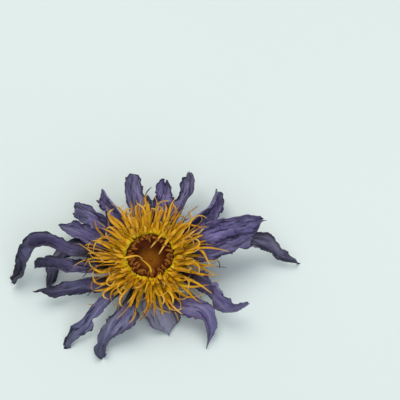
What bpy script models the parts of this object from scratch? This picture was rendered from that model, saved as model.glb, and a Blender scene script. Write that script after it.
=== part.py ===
"""Dried, fully opened blue water lily (blue lotus) flower head, cut just below the head.

The flower rests face up on its short stalk stub and on the drooping tips of its petals and sepals.
Lengths in the tables are millimetres: the meshes are made in metres, with +Z up. The front of the
flower, the side that its head leans towards, faces -Y. The origin is the centre of the bounding
box's base, on the surface that the flower rests on.
"""

import math
from dataclasses import dataclass

import bmesh
import bpy
from mathutils import Matrix, Vector

MM = 0.001

# The head: its axis starts at the top of the stalk stub and leans towards -Y.
HEAD_TILT = 12.0
HEAD_BASE = (0.0, 0.0, 3.0)
STALK_RADIUS = 2.7
STALK_FLARE = 3.7
STALK_GAP = 0.05
STALK_RIBS = 5
RIB_DEPTH = 0.05

# The pistil: an ovary under a cupped disc, with a crown of short appendages round the rim.
OVARY_RADIUS = 5.9
DISC_INNER_RADIUS = 5.6
DISC_OUTER_RADIUS = 6.8
DISC_FLOOR = 7.6
DISC_RIM = 9.5
CROWN_HEIGHT = 1.3
APPENDAGES = 26

# Petals and sepals: closed sheets with this many stations along and five points across.
SHEET_THICKNESS = 0.45
SEPAL_THICKNESS = 0.6
STATIONS = 11
ACROSS = (-1.0, -0.5, 0.0, 0.5, 1.0)
PETAL_ROOT_RADIUS = 6.4
SEPAL_ROOT_RADIUS = 5.1

# Stamens: each whorl is made of bunches whose flat filaments share a short strip at the base.
BUNCHES = 8
BUNCH_GAP = 3.4
FILAMENTS = 6
FILAMENT_THICKNESS = 0.34
FILAMENT_STEPS = 4
STRIP_HEIGHT = 0.7
SHORT_AND_LONG = 0.07


@dataclass(frozen=True)
class Finish:
    """Colour (linear RGB), roughness and metallic of one kind of tissue."""

    name: str
    colour: tuple
    roughness: float
    metallic: float = 0.0


@dataclass(frozen=True)
class Sheet:
    """One petal or sepal: its root on the head, the line its middle follows, and its section.

    Attributes:
        azimuth: where the root sits round the head, in degrees from +X towards +Y.
        level: height of the root above the head's base, along the head's axis.
        spine: the points that the middle of the sheet passes after its root.
        widths: full width at the root, then at each point of the spine.
        rolls: degrees that the sheet is turned about its middle at the same places.
        channel: how far the edges rise above the middle, as a share of half the width,
            at the root and at the tip; negative where the edges turn down.
    """

    name: str
    azimuth: float
    level: float
    spine: tuple
    widths: tuple
    rolls: tuple
    channel: tuple


@dataclass(frozen=True)
class Whorl:
    """One ring of stamens: where it is rooted, how its filaments leave and arch, and their size."""

    name: str
    root_radius: float
    root_level: float
    start_elevation: float
    end_elevation: float
    length: float
    base_width: float
    tip_width: float


PETAL = Finish("dried_petal_violet", (0.105, 0.088, 0.205), 0.62)
SEPAL = Finish("dried_sepal_green_black", (0.022, 0.027, 0.036), 0.58)
STAMEN = Finish("dried_stamen_yellow", (0.560, 0.300, 0.020), 0.55)
PISTIL = Finish("dried_pistil_brown", (0.180, 0.062, 0.014), 0.65)
STALK = Finish("dried_stalk_brown", (0.095, 0.060, 0.028), 0.75)

PETALS = (
    Sheet("petal_front_left", 228, 2.3,
          ((-11, -11.6, 6.2), (-14.6, -15.2, 5.8), (-18.2, -19.6, 5), (-21.8, -22.8, 2.4), (-24.7, -26.2, 0.3)),
          (2.2, 3.2, 3.4, 3.4, 3.6, 2.6), (0, 10, 15, 20, 0, 0), (0.5, 0.45)),
    Sheet("petal_front_broad", 252, 3.9,
          ((-6.4, -13.4, 5.3), (-8.4, -18.2, 4.8), (-11.2, -23, 3.2), (-13.6, -26.8, 1.2), (-13.4, -29.4, 0.35)),
          (2.4, 4.4, 8.8, 6.2, 4.4, 3.0), (0, 8, 12, 10, 0, 0), (0.3, 0.3)),
    Sheet("petal_front_folded", 303, 3.1,
          ((7.4, -13.2, 5.0), (11.4, -15.3, 5.2), (15.2, -16.8, 5.6), (17.8, -20.8, 4.2), (16.9, -26.4, 0.25)),
          (2.4, 4.6, 6.6, 6.4, 3.2, 1.4), (0, 10, 15, -25, -35, -10), (0.25, 0.3)),
    Sheet("petal_right_crooked", 329, 2.3,
          ((12.5, -5.6, 5.8), (17.6, -9, 6.4), (19.8, -13.4, 7), (24.6, -16.6, 6.6), (29.2, -15.8, 8)),
          (2.4, 4.2, 6.2, 5.4, 3.4, 1.4), (0, -10, -30, -20, 0, 0), (0.3, 0.35)),
    Sheet("petal_right_low", 2, 2.3,
          ((14.5, 0.2, 8.6), (20, 1.2, 9.6), (26, 2.8, 10.4), (31, 4.8, 10.6)),
          (2.4, 5.0, 5.6, 4.8, 2.2), (0, -10, -15, -10, 0), (0.3, 0.35)),
    Sheet("petal_right_high", 22, 3.9,
          ((14.5, 6.8, 9.6), (21, 8.6, 11.4), (28, 10, 12), (34, 11.6, 11.4)),
          (2.4, 5.6, 6.6, 6.0, 3.2), (0, -8, -10, -5, 0), (0.2, 0.3)),
    Sheet("petal_back_right_low", 44, 2.3,
          ((12, 10.6, 7.4), (15.6, 16, 7.8), (18.6, 22, 6.4), (20.6, 28.4, 3.8)),
          (2.4, 4.6, 5.6, 4.6, 2.2), (0, 0, -15, -20, 0), (0.3, 0.5)),
    Sheet("petal_back_right_high", 63, 3.9,
          ((8, 14, 9.4), (10.2, 19.6, 10.2), (11.6, 26, 9), (12, 33, 6.4)),
          (2.4, 4.8, 6.0, 5.0, 2.0), (0, 5, 10, 15, 10), (0.3, 0.5)),
    Sheet("petal_back_low", 84, 2.3,
          ((2.2, 14.4, 7.2), (2.6, 20.4, 7.4), (3.4, 27, 6), (3.2, 33, 4)),
          (2.4, 4.8, 5.8, 4.8, 2.0), (0, 0, 5, 10, 0), (0.3, 0.4)),
    Sheet("petal_back_high", 103, 3.9,
          ((-3.6, 14.4, 9.2), (-5, 20, 10), (-6.2, 26.4, 9.2), (-6.4, 32, 7)),
          (2.4, 5.0, 6.2, 5.4, 2.2), (0, -5, -10, -15, -10), (0.3, 0.4)),
    Sheet("petal_back_left_low", 122, 2.3,
          ((-8.4, 12.6, 7.2), (-11.6, 18.4, 7.2), (-14, 24, 5.6), (-15.6, 29, 3.4)),
          (2.4, 4.4, 5.4, 4.2, 1.8), (0, 0, 10, 15, 10), (0.3, 0.5)),
    Sheet("petal_back_left_high", 141, 3.9,
          ((-12.4, 9.8, 9), (-17, 13.4, 9.4), (-21.6, 17, 8.2), (-25, 21, 5.8)),
          (2.4, 4.8, 5.6, 4.6, 2.0), (0, 5, 10, 15, 10), (0.3, 0.4)),
    Sheet("petal_left_broad", 160, 2.3,
          ((-14.2, 5.4, 7.8), (-19, 8.6, 7.6), (-23.8, 11.4, 6.8), (-28.4, 14, 5.6)),
          (2.4, 4.8, 6.0, 5.4, 2.6), (0, 5, 10, 10, 0), (0.25, 0.3)),
    Sheet("petal_left_arched", 175, 3.7,
          ((-16.5, 0.2, 9.0), (-22.5, 0.6, 10.4), (-29.2, 2.2, 12.6), (-34.2, 2.8, 10.4), (-37.8, -0.8, 5.2),
           (-40.4, -4, 0.35)),
          (2.2, 3.2, 3.4, 3.4, 3.6, 3.2, 2.2), (0, 15, 20, 15, 0, 0, 0), (0.4, 0.45)),
    Sheet("petal_left_violet", 190, 2.3,
          ((-15.6, -3.8, 7.5), (-22.4, -4.2, 8.5), (-27.9, -2.8, 8.6), (-32.2, -2.5, 7.6), (-35.6, -2.6, 6.4)),
          (2.2, 3.8, 4.6, 3.6, 3.0, 1.6), (0, 15, 25, 20, 10, 0), (0.3, 0.4)),
    Sheet("petal_left_low", 209, 3.8,
          ((-14, -7.4, 5.7), (-19.4, -8, 5.7), (-24.8, -9.2, 5.4), (-29.8, -10.1, 4.8), (-34.4, -10.4, 6.2)),
          (2.2, 3.6, 4.2, 3.8, 3.0, 1.4), (0, 10, 20, 20, 10, 0), (0.35, 0.4)),
)

SEPALS = (
    Sheet("sepal_front", 283, 0.7,
          ((1, -10.4, 3.8), (3, -15.4, 3.4), (4.7, -19, 2.1), (5.8, -22.4, 0.35)),
          (3.4, 6.0, 12.8, 9.6, 1.6), (0, 0, 0, 0, 0), (0.2, 0.12)),
    Sheet("sepal_right", 12, 0.7,
          ((14, 4, 5.6), (24, 5.6, 8.2), (31.4, 6.6, 8.6), (36.4, 5.6, 6.6), (40.4, 3.8, 3.0), (45, 3.7, 0.35)),
          (3.6, 6.4, 6.8, 5.6, 4.8, 3.4, 1.4), (0, 0, -5, -20, -30, -20, 0), (0.25, 0.4)),
    Sheet("sepal_back", 98, 0.7,
          ((-1, 10.6, 4.8), (-1.6, 17, 4.2), (-2, 23.6, 2.2), (-1.6, 29, 0.35)),
          (3.6, 7.6, 8.6, 6.4, 1.8), (0, 0, 0, 0, 0), (0.25, 0.3)),
    Sheet("sepal_left", 172, 0.7,
          ((-13, 2.6, 4.8), (-20.6, 4.8, 5.4), (-25.6, 4.4, 5), (-28.4, 0.8, 3.8), (-29.8, -2.6, 2.2),
           (-30.6, -5.6, 0.35)),
          (3.6, 5.4, 5.8, 5.0, 4.4, 3.6, 2.6), (0, 0, 5, 0, 0, 0, 0), (0.3, 0.3)),
)

WHORLS = (
    Whorl("stamens_inner", 7.1, 8.1, 76, 34, 8.6, 0.62, 0.42),
    Whorl("stamens_middle", 7.2, 6.7, 60, -2, 12.6, 0.62, 0.40),
    Whorl("stamens_outer", 7.3, 5.4, 36, -34, 14.2, 0.62, 0.38),
)


def clear_scene():
    """Removes every object, and the meshes and materials left without users."""
    for found in list(bpy.data.objects):
        bpy.data.objects.remove(found, do_unlink=True)
    for pool in (bpy.data.meshes, bpy.data.materials):
        for block in list(pool):
            if block.users == 0:
                pool.remove(block)


def tissue_material(finish):
    """A Principled material for one kind of tissue, made once and shared."""
    made = bpy.data.materials.get(finish.name)
    if made is not None:
        return made
    made = bpy.data.materials.new(finish.name)
    made.use_nodes = True
    shader = made.node_tree.nodes["Principled BSDF"]
    shader.inputs["Base Color"].default_value = (*finish.colour, 1.0)
    shader.inputs["Roughness"].default_value = finish.roughness
    shader.inputs["Metallic"].default_value = finish.metallic
    made.diffuse_color = (*finish.colour, 1.0)
    return made


def empty_at(name, parent=None):
    """An empty that other objects are placed by."""
    made = bpy.data.objects.new(name, None)
    made.parent = parent
    bpy.context.scene.collection.objects.link(made)
    return made


def mesh_of(name, points, faces, finish):
    """A smooth-shaded mesh from points in mm, with its faces turned outwards."""
    mesh = bpy.data.meshes.new(name)
    mesh.from_pydata([Vector(point) * MM for point in points], [], faces)
    shape = bmesh.new()
    shape.from_mesh(mesh)
    bmesh.ops.recalc_face_normals(shape, faces=shape.faces)
    shape.to_mesh(mesh)
    shape.free()
    mesh.shade_smooth()
    mesh.materials.append(tissue_material(finish))
    return mesh


def piece_of(name, mesh, parent, thickness=None):
    """One piece of the flower; a thickness turns its open sheet into a closed body."""
    made = bpy.data.objects.new(name, mesh)
    made.parent = parent
    bpy.context.scene.collection.objects.link(made)
    if thickness is not None:
        solidify = made.modifiers.new("thickness", "SOLIDIFY")
        solidify.thickness = thickness * MM
        solidify.offset = 0.0
        solidify.use_even_offset = False
    return made


def head_matrix():
    """The head's place and lean, in mm."""
    return Matrix.Translation(HEAD_BASE) @ Matrix.Rotation(math.radians(HEAD_TILT), 4, "X")


def polar(radius, azimuth, level):
    """A point from its distance to the axis, its degrees round it and its height along it."""
    turn = math.radians(azimuth)
    return Vector((radius * math.cos(turn), radius * math.sin(turn), level))


def between(values, place):
    """The value at a place on a row of values, where place 1.5 is midway from the second to the third."""
    low = min(int(place), len(values) - 2)
    share = place - low
    return values[low] * (1 - share) + values[low + 1] * share


def smooth_line(points, count, fineness=24):
    """Stations spaced evenly along a Catmull-Rom curve: (point, tangent, place on the row of points)."""
    padded = [2 * points[0] - points[1], *points, 2 * points[-1] - points[-2]]
    dense = []
    places = []
    for k in range((len(points) - 1) * fineness + 1):
        place = k / fineness
        span = min(int(place), len(points) - 2)
        t = place - span
        p0, p1, p2, p3 = padded[span:span + 4]
        dense.append(0.5 * (2 * p1 + (p2 - p0) * t + (2 * p0 - 5 * p1 + 4 * p2 - p3) * t ** 2
                            + (3 * p1 - p0 - 3 * p2 + p3) * t ** 3))
        places.append(place)
    run = [0.0]
    for a, b in zip(dense, dense[1:]):
        run.append(run[-1] + (b - a).length)
    stations = []
    k = 0
    for i in range(count):
        wanted = run[-1] * i / (count - 1)
        while k < len(run) - 2 and run[k + 1] < wanted:
            k += 1
        share = (wanted - run[k]) / (run[k + 1] - run[k])
        stations.append((dense[k].lerp(dense[k + 1], share), (dense[k + 1] - dense[k]).normalized(),
                         places[k] * (1 - share) + places[k + 1] * share))
    return stations


def build_sheet(sheet, root_radius, thickness, finish, parent):
    """One petal or sepal, whose face is carried along its spine from facing up at the root."""
    root = head_matrix() @ polar(root_radius, sheet.azimuth, sheet.level)
    spine = [root, *map(Vector, sheet.spine)]
    normal = Vector((0, 0, 1))
    points = []
    for point, tangent, place in smooth_line(spine, STATIONS):
        normal = (normal - tangent * normal.dot(tangent)).normalized()
        roll = Matrix.Rotation(-math.radians(between(sheet.rolls, place)), 3, tangent)
        facing = roll @ normal
        side = facing.cross(tangent)
        half = between(sheet.widths, place) / 2
        channel = between(sheet.channel, place / (len(spine) - 1))
        for across in ACROSS:
            points.append(point + side * across * half + facing * channel * half * across ** 2)
    row = len(ACROSS)
    quads = [
        (i * row + j, i * row + j + 1, (i + 1) * row + j + 1, (i + 1) * row + j)
        for i in range(STATIONS - 1)
        for j in range(row - 1)
    ]
    return piece_of(sheet.name, mesh_of(sheet.name, points, quads, finish), parent, thickness)


def filament_rows(whorl, azimuth, stretch):
    """Pairs of edge points up one filament, from the foot of the strip to the tip."""
    step = whorl.length * stretch / FILAMENT_STEPS
    radius = whorl.root_radius
    level = whorl.root_level - STRIP_HEIGHT
    across = polar(1.0, azimuth + 90, 0.0)
    spots = [(radius, level, whorl.base_width)]
    level = whorl.root_level
    for k in range(FILAMENT_STEPS + 1):
        share = k / FILAMENT_STEPS
        spots.append((radius, level, whorl.base_width * (1 - share) + whorl.tip_width * share))
        elevation = math.radians(whorl.start_elevation * (1 - share) + whorl.end_elevation * share)
        radius += math.cos(elevation) * step
        level += math.sin(elevation) * step
    return [
        (polar(reach, azimuth, height) - across * width / 2, polar(reach, azimuth, height) + across * width / 2)
        for reach, height, width in spots
    ]


def bunch_mesh(whorl):
    """A curved strip at the base with a row of tapering filaments on it, shared by the whorl's bunches."""
    span = 360 / BUNCHES - BUNCH_GAP
    points = []
    quads = []
    for k in range(FILAMENTS):
        azimuth = span * ((k + 0.5) / FILAMENTS - 0.5)
        stretch = 1.0 + SHORT_AND_LONG * math.cos(math.pi * k)
        first = len(points)
        for left, right in filament_rows(whorl, azimuth, stretch):
            points += [left, right]
        for low in range(first, len(points) - 2, 2):
            quads.append((low, low + 1, low + 3, low + 2))
        if k:
            before = first - 2 * (FILAMENT_STEPS + 2)
            quads.append((before + 1, first, first + 2, before + 3))
    return mesh_of(whorl.name, points, quads, STAMEN)


def build_whorl(whorl, parent):
    """The bunches of one whorl, spaced evenly round the head."""
    mesh = bunch_mesh(whorl)
    for index in range(BUNCHES):
        bunch = piece_of(f"{whorl.name}_{index + 1}", mesh, parent, FILAMENT_THICKNESS)
        bunch.rotation_euler.z = 2 * math.pi * (index + 0.5) / BUNCHES


def skin_rings(rings, low, high):
    """Points and faces of a closed body: rings of equal length, closed by a point at each end."""
    count = len(rings[0])
    points = [low, *(point for ring in rings for point in ring), high]
    faces = []
    for i in range(count):
        j = (i + 1) % count
        faces.append((0, 1 + j, 1 + i))
        for first in range(1, 1 + (len(rings) - 1) * count, count):
            faces.append((first + i, first + j, first + count + j, first + count + i))
        last = 1 + (len(rings) - 1) * count
        faces.append((last + i, last + j, len(points) - 1))
    return points, faces


def build_pistil(parent):
    """The ovary, its cupped disc and the crown of appendages, which grew as one."""
    crest = DISC_RIM + CROWN_HEIGHT
    profile = (
        (3.2, 0.3, 0.3), (4.3, 0.9, 0.9), (5.5, 2.4, 2.4), (OVARY_RADIUS, 4.4, 4.4), (OVARY_RADIUS, 7.0, 7.0),
        (DISC_OUTER_RADIUS - 0.2, 8.4, 8.4), (DISC_OUTER_RADIUS, DISC_RIM, crest - 0.5),
        (DISC_OUTER_RADIUS - 0.5, DISC_RIM + 0.3, crest),
        (DISC_INNER_RADIUS, DISC_RIM - 0.4, DISC_RIM - 0.4),
        (DISC_INNER_RADIUS - 0.9, DISC_FLOOR + 0.5, DISC_FLOOR + 0.5),
        (3.0, DISC_FLOOR, DISC_FLOOR), (1.2, DISC_FLOOR + 0.1, DISC_FLOOR + 0.1),
        (0.6, DISC_FLOOR + 0.7, DISC_FLOOR + 0.7),
    )
    count = APPENDAGES * 2
    rings = [
        [polar(radius, 360 * i / count, high if i % 2 == 0 else low) for i in range(count)]
        for radius, low, high in profile
    ]
    points, faces = skin_rings(rings, polar(0, 0, 0.3), polar(0, 0, DISC_FLOOR + 0.9))
    return piece_of("pistil", mesh_of("pistil", points, faces, PISTIL), parent)


def build_stalk(parent):
    """The stub of the stalk, cut flat where it stands, ribbed by drying and flared under the leaning head."""
    profile = ((STALK_RADIUS, 0.0), (STALK_RADIUS * 0.97, 0.35), (STALK_RADIUS * 1.04, 0.65), (STALK_FLARE, 1.0))
    count = 6 * STALK_RIBS
    rings = []
    for radius, share in profile:
        ring = []
        for i in range(count):
            turn = 360 * i / count
            ribbed = radius * (1 + RIB_DEPTH * math.cos(math.radians(STALK_RIBS * turn)))
            foot = polar(ribbed, turn, 0.0)
            top = head_matrix() @ polar(ribbed, turn, -STALK_GAP)
            ring.append(foot.lerp(top, share))
        rings.append(ring)
    points, faces = skin_rings(rings, Vector((0, 0, 0)), head_matrix() @ Vector((0, 0, -STALK_GAP)))
    return piece_of("stalk", mesh_of("stalk", points, faces, STALK), parent)


def stand_on_origin(flower):
    """Moves the whole flower so that the centre of its bounding box's base is the origin."""
    bpy.context.view_layer.update()
    graph = bpy.context.evaluated_depsgraph_get()
    corners = []
    for piece in bpy.data.objects:
        if piece.type == "MESH":
            shape = piece.evaluated_get(graph)
            corners += [shape.matrix_world @ vertex.co for vertex in shape.data.vertices]
    low = Vector([min(corner[axis] for corner in corners) for axis in range(3)])
    high = Vector([max(corner[axis] for corner in corners) for axis in range(3)])
    flower.location = (-(low.x + high.x) / 2, -(low.y + high.y) / 2, -low.z)


def main():
    clear_scene()
    flower = empty_at("flower")
    head = empty_at("head", flower)
    head.location = Vector(HEAD_BASE) * MM
    head.rotation_euler.x = math.radians(HEAD_TILT)
    build_stalk(flower)
    build_pistil(head)
    for sepal in SEPALS:
        build_sheet(sepal, SEPAL_ROOT_RADIUS, SEPAL_THICKNESS, SEPAL, flower)
    for petal in PETALS:
        build_sheet(petal, PETAL_ROOT_RADIUS, SHEET_THICKNESS, PETAL, flower)
    for whorl in WHORLS:
        build_whorl(whorl, head)
    stand_on_origin(flower)


main()
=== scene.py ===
"""Looks of the dried blue lotus flower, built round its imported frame.

Every petal and sepal is a thin, wrinkled sheet laid along the middle of its plain CAD solid. The
stamens are separate flat straps that stand for the CAD bunches, and the pistil is a rayed cup with
a crown of curled horns. Lengths are millimetres, angles are degrees, and points are in the row
frame unless a name says otherwise. Meshes are written in metres.
"""

import logging
import math
from dataclasses import dataclass
from enum import Enum

import bmesh
import bpy
import numpy as np
from mathutils import Matrix, Vector


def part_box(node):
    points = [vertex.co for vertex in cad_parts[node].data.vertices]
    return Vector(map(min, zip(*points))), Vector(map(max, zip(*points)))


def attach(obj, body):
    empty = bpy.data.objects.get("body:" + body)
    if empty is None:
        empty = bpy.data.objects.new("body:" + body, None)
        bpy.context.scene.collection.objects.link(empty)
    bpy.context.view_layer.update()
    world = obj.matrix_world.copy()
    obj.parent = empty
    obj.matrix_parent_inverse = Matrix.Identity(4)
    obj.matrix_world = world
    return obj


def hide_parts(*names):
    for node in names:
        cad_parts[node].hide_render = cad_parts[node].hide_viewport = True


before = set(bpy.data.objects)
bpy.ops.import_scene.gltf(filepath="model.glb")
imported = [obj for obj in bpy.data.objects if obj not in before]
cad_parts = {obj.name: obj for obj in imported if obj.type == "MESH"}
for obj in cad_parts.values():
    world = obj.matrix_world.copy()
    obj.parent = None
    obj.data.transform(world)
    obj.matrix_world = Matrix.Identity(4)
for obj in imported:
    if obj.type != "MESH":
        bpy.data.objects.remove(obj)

LOG = logging.getLogger("lotus")
MM = 0.001

# The head's place, as the frame has it: its axis starts above the stalk's foot and leans to -Y.
HEAD_RISE = 3.0
HEAD_LEAN = 12.0
FLOOR_GAP = 0.03

# A CAD sheet has this many rings of vertices, with two vertices at each place across.
SHEET_RINGS = 11
RING_VERTICES = 10
WELD = 1e-6


def linear_colour(hex_code: str) -> tuple[float, float, float, float]:
    """Turns an sRGB hex colour into linear RGBA.

    Args:
        hex_code: the colour as "#rrggbb".

    Returns:
        Linear red, green, blue and an alpha of 1.
    """
    channels = [int(hex_code[k:k + 2], 16) / 255 for k in (1, 3, 5)]
    linear = [c / 12.92 if c <= 0.04045 else ((c + 0.055) / 1.055) ** 2.4 for c in channels]
    return (*linear, 1.0)


def smooth_step(values: np.ndarray, start: float, end: float) -> np.ndarray:
    """Rises smoothly from 0 at start to 1 at end."""
    share = np.clip((values - start) / (end - start), 0.0, 1.0)
    return share * share * (3.0 - 2.0 * share)


def unit(vectors: np.ndarray) -> np.ndarray:
    """Vectors scaled to length 1 along their last axis."""
    return vectors / np.maximum(np.linalg.norm(vectors, axis=-1, keepdims=True), 1e-12)


def around(reach: np.ndarray, turn: np.ndarray, level: np.ndarray) -> np.ndarray:
    """Points round an axis, from their distance to it, radians round it and height."""
    return np.stack([reach * np.cos(turn), reach * np.sin(turn), level + np.zeros_like(turn)], axis=-1)


def aimed(elevation: np.ndarray, heading: np.ndarray) -> np.ndarray:
    """Unit vectors at an elevation and a heading, both in radians."""
    return around(np.cos(elevation), heading, np.sin(elevation))


def sideways(heading: np.ndarray) -> np.ndarray:
    """Level unit vectors to the left of a heading in radians."""
    return np.stack([-np.sin(heading), np.cos(heading), np.zeros_like(heading)], axis=-1)


def twisted(flat: np.ndarray, along: np.ndarray, twist: np.ndarray) -> np.ndarray:
    """Directions turned by a twist in radians about the directions they cross."""
    return flat * np.cos(twist)[:, None] + np.cross(along, flat) * np.sin(twist)[:, None]


def walked(start: np.ndarray, ahead: np.ndarray, step: float) -> np.ndarray:
    """A line from start that takes one step in each direction but the first."""
    return start + np.concatenate([np.zeros((1, 3)), np.cumsum(ahead[1:] * step, axis=0)])


def run_along(line: np.ndarray) -> np.ndarray:
    """The distance walked along a line, at each of its points."""
    return np.concatenate([[0.0], np.cumsum(np.linalg.norm(np.diff(line, axis=0), axis=1))])


def through_points(points: np.ndarray, places: np.ndarray) -> np.ndarray:
    """Reads a smooth curve that passes through evenly spaced points.

    Args:
        points: the rows that the curve passes, one for each station.
        places: shares from 0 to 1 at which it is wanted.

    Returns:
        One row for each place.
    """
    padded = np.concatenate([2 * points[:1] - points[1:2], points, 2 * points[-1:] - points[-2:-1]])
    at = np.clip(places, 0.0, 1.0) * (len(points) - 1)
    span = np.minimum(at.astype(int), len(points) - 2)
    t = (at - span)[:, None]
    p0, p1, p2, p3 = (padded[span + k] for k in range(4))
    return 0.5 * (2 * p1 + (p2 - p0) * t + (2 * p0 - 5 * p1 + 4 * p2 - p3) * t ** 2
                  + (3 * p1 - p0 - 3 * p2 + p3) * t ** 3)


class Wrinkles:
    """Seeded smooth noise on a plane, from -1 to 1, that repeats only after many cells."""

    CELLS = 64

    def __init__(self, seed: int) -> None:
        """Draws the lattice of values for one seed."""
        self.lattice = np.random.default_rng(seed).uniform(-1.0, 1.0, (self.CELLS, self.CELLS))

    def at(self, x: np.ndarray, y: np.ndarray) -> np.ndarray:
        """The noise at points given in cells."""
        i, j = np.floor(x).astype(int), np.floor(y).astype(int)
        fx, fy = x - i, y - j
        fx = fx ** 3 * (fx * (fx * 6 - 15) + 10)
        fy = fy ** 3 * (fy * (fy * 6 - 15) + 10)
        low, high = i % self.CELLS, (i + 1) % self.CELLS
        near, far = j % self.CELLS, (j + 1) % self.CELLS
        left = self.lattice[low, near] * (1 - fy) + self.lattice[low, far] * fy
        right = self.lattice[high, near] * (1 - fy) + self.lattice[high, far] * fy
        return left * (1 - fx) + right * fx

    def creased(self, x: np.ndarray, y: np.ndarray) -> np.ndarray:
        """The same noise folded at its zero, which makes narrow ridges, from -1 to 1."""
        return 1.0 - 2.0 * np.abs(self.at(x, y))


class Head:
    """Where the flower's head stands: from its own axes to the row frame."""

    def __init__(self) -> None:
        """Reads the stalk's foot from the frame."""
        low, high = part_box("stalk")
        foot = (low + high) / (2 * MM)
        self.foot = np.array([foot.x, foot.y, 0.0])
        self.turn = np.array(Matrix.Rotation(math.radians(HEAD_LEAN), 3, "X"))
        self.base = self.foot + np.array([0.0, 0.0, HEAD_RISE])

    def to_row(self, points: np.ndarray) -> np.ndarray:
        """Points in the head's own axes, given in the row frame."""
        return points @ self.turn.T + self.base

    def from_foot(self, points: np.ndarray) -> np.ndarray:
        """Points measured from the stalk's foot, given in the row frame."""
        return np.asarray(points, float) + self.foot


# Materials


def add_node(tree: bpy.types.NodeTree, kind: str, inputs: dict | None = None,
             **settings: object) -> bpy.types.Node:
    """Adds a shader node with its settings and links.

    Args:
        tree: the material's or world's node tree.
        kind: the node's type.
        inputs: socket name or number to a value, or to the output socket that feeds it.
        settings: properties of the node itself.

    Returns:
        The new node.
    """
    made = tree.nodes.new(kind)
    for name, value in settings.items():
        setattr(made, name, value)
    for key, value in (inputs or {}).items():
        if isinstance(value, bpy.types.NodeSocket):
            tree.links.new(value, made.inputs[key])
        else:
            made.inputs[key].default_value = value
    return made


def blended(tree: bpy.types.NodeTree, share: object, first: object, second: object,
            mode: str = "MIX") -> bpy.types.NodeSocket:
    """A colour between two others.

    Args:
        tree: the material's node tree.
        share: how much of the second shows, as a number or a socket.
        first: the colour at share 0, as a hex code or a socket.
        second: the colour at share 1, as a hex code or a socket.
        mode: Blender's name for the way they are blended.

    Returns:
        The mixed colour's socket.
    """
    colours = [linear_colour(c) if isinstance(c, str) else c for c in (first, second)]
    made = add_node(tree, "ShaderNodeMix", {0: share, 6: colours[0], 7: colours[1]},
                    data_type="RGBA", blend_type=mode)
    return made.outputs[2]


def stretched(tree: bpy.types.NodeTree, value: bpy.types.NodeSocket, low: float, high: float,
              to_low: float = 0.0, to_high: float = 1.0) -> bpy.types.NodeSocket:
    """A value whose range low to high is spread over another range, held at its ends."""
    made = add_node(tree, "ShaderNodeMapRange",
                    {"Value": value, "From Min": low, "From Max": high, "To Min": to_low, "To Max": to_high},
                    interpolation_type="SMOOTHSTEP")
    return made.outputs["Result"]


def layered(tree: bpy.types.NodeTree, colour: object, layers: tuple[tuple, ...]) -> bpy.types.NodeSocket:
    """Lays colours over a first one, each where a value is near the end of its range.

    Args:
        tree: the material's node tree.
        colour: the first colour, as a hex code or a socket.
        layers: for each, the value, where it starts and is full, how much then shows, and its colour.

    Returns:
        The socket of the colour on top.
    """
    for value, start, full, most, tint in layers:
        colour = blended(tree, stretched(tree, value, start, full, 0.0, most), colour, tint)
    return colour


def speckled(tree: bpy.types.NodeTree, colour: bpy.types.NodeSocket, grain: bpy.types.NodeSocket,
             darkest: float, palest: float) -> bpy.types.NodeSocket:
    """A colour that a grain makes darker and paler, between two factors."""
    factor = stretched(tree, grain, 0.3, 0.7, darkest, palest)
    shade = add_node(tree, "ShaderNodeCombineColor", {0: factor, 1: factor, 2: factor}).outputs[0]
    return blended(tree, 1.0, colour, shade, "MULTIPLY")


@dataclass(frozen=True)
class Finish:
    """A dry plant surface, coloured by its mesh's tissue attributes.

    Attributes:
        name: the material's name, after the tissue and how it dried.
    """

    name: str

    IOR = 1.45

    def material(self) -> bpy.types.Material:
        """The material, made once and shared by the pieces that have this finish."""
        made = bpy.data.materials.get(self.name)
        if made is None:
            made = bpy.data.materials.new(self.name)
            made.use_nodes = True
            tree = made.node_tree
            tree.nodes.clear()
            place = add_node(tree, "ShaderNodeAttribute", attribute_name="tissue_place").outputs["Vector"]
            zone = add_node(tree, "ShaderNodeAttribute", attribute_name="tissue_zone").outputs["Vector"]
            zones = add_node(tree, "ShaderNodeSeparateXYZ", {0: zone}).outputs
            surface = self.surface(tree, place, zones)
            add_node(tree, "ShaderNodeOutputMaterial", {"Surface": surface})
        return made

    def surface(self, tree: bpy.types.NodeTree, place: bpy.types.NodeSocket,
                zones: bpy.types.bpy_prop_collection) -> bpy.types.NodeSocket:
        """Colours and lights the tissue; each kind of finish has its own way.

        Args:
            tree: the material's node tree.
            place: the socket of tissue_place.
            zones: the three sockets of tissue_zone, named X, Y and Z.

        Returns:
            The shader's socket.
        """
        raise NotImplementedError

    def lit(self, tree: bpy.types.NodeTree, look: dict, relief: tuple, glow: float) -> bpy.types.NodeSocket:
        """Lets light fall on the tissue, and some of it through.

        Args:
            tree: the material's node tree.
            look: the skin's inputs, among them its Base Color.
            relief: the height's socket, how strongly it shows, and its depth in mm.
            glow: share of the light that passes through.

        Returns:
            The shader's socket.
        """
        height, strength, depth = relief
        bump = add_node(tree, "ShaderNodeBump",
                        {"Strength": strength, "Distance": depth * MM, "Height": height}).outputs["Normal"]
        skin = add_node(tree, "ShaderNodeBsdfPrincipled", {**look, "Normal": bump, "IOR": self.IOR})
        if not glow:
            return skin.outputs[0]
        through = add_node(tree, "ShaderNodeBsdfTranslucent", {"Color": look["Base Color"], "Normal": bump})
        return add_node(tree, "ShaderNodeMixShader",
                        {0: glow, 1: skin.outputs[0], 2: through.outputs[0]}).outputs[0]


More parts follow.
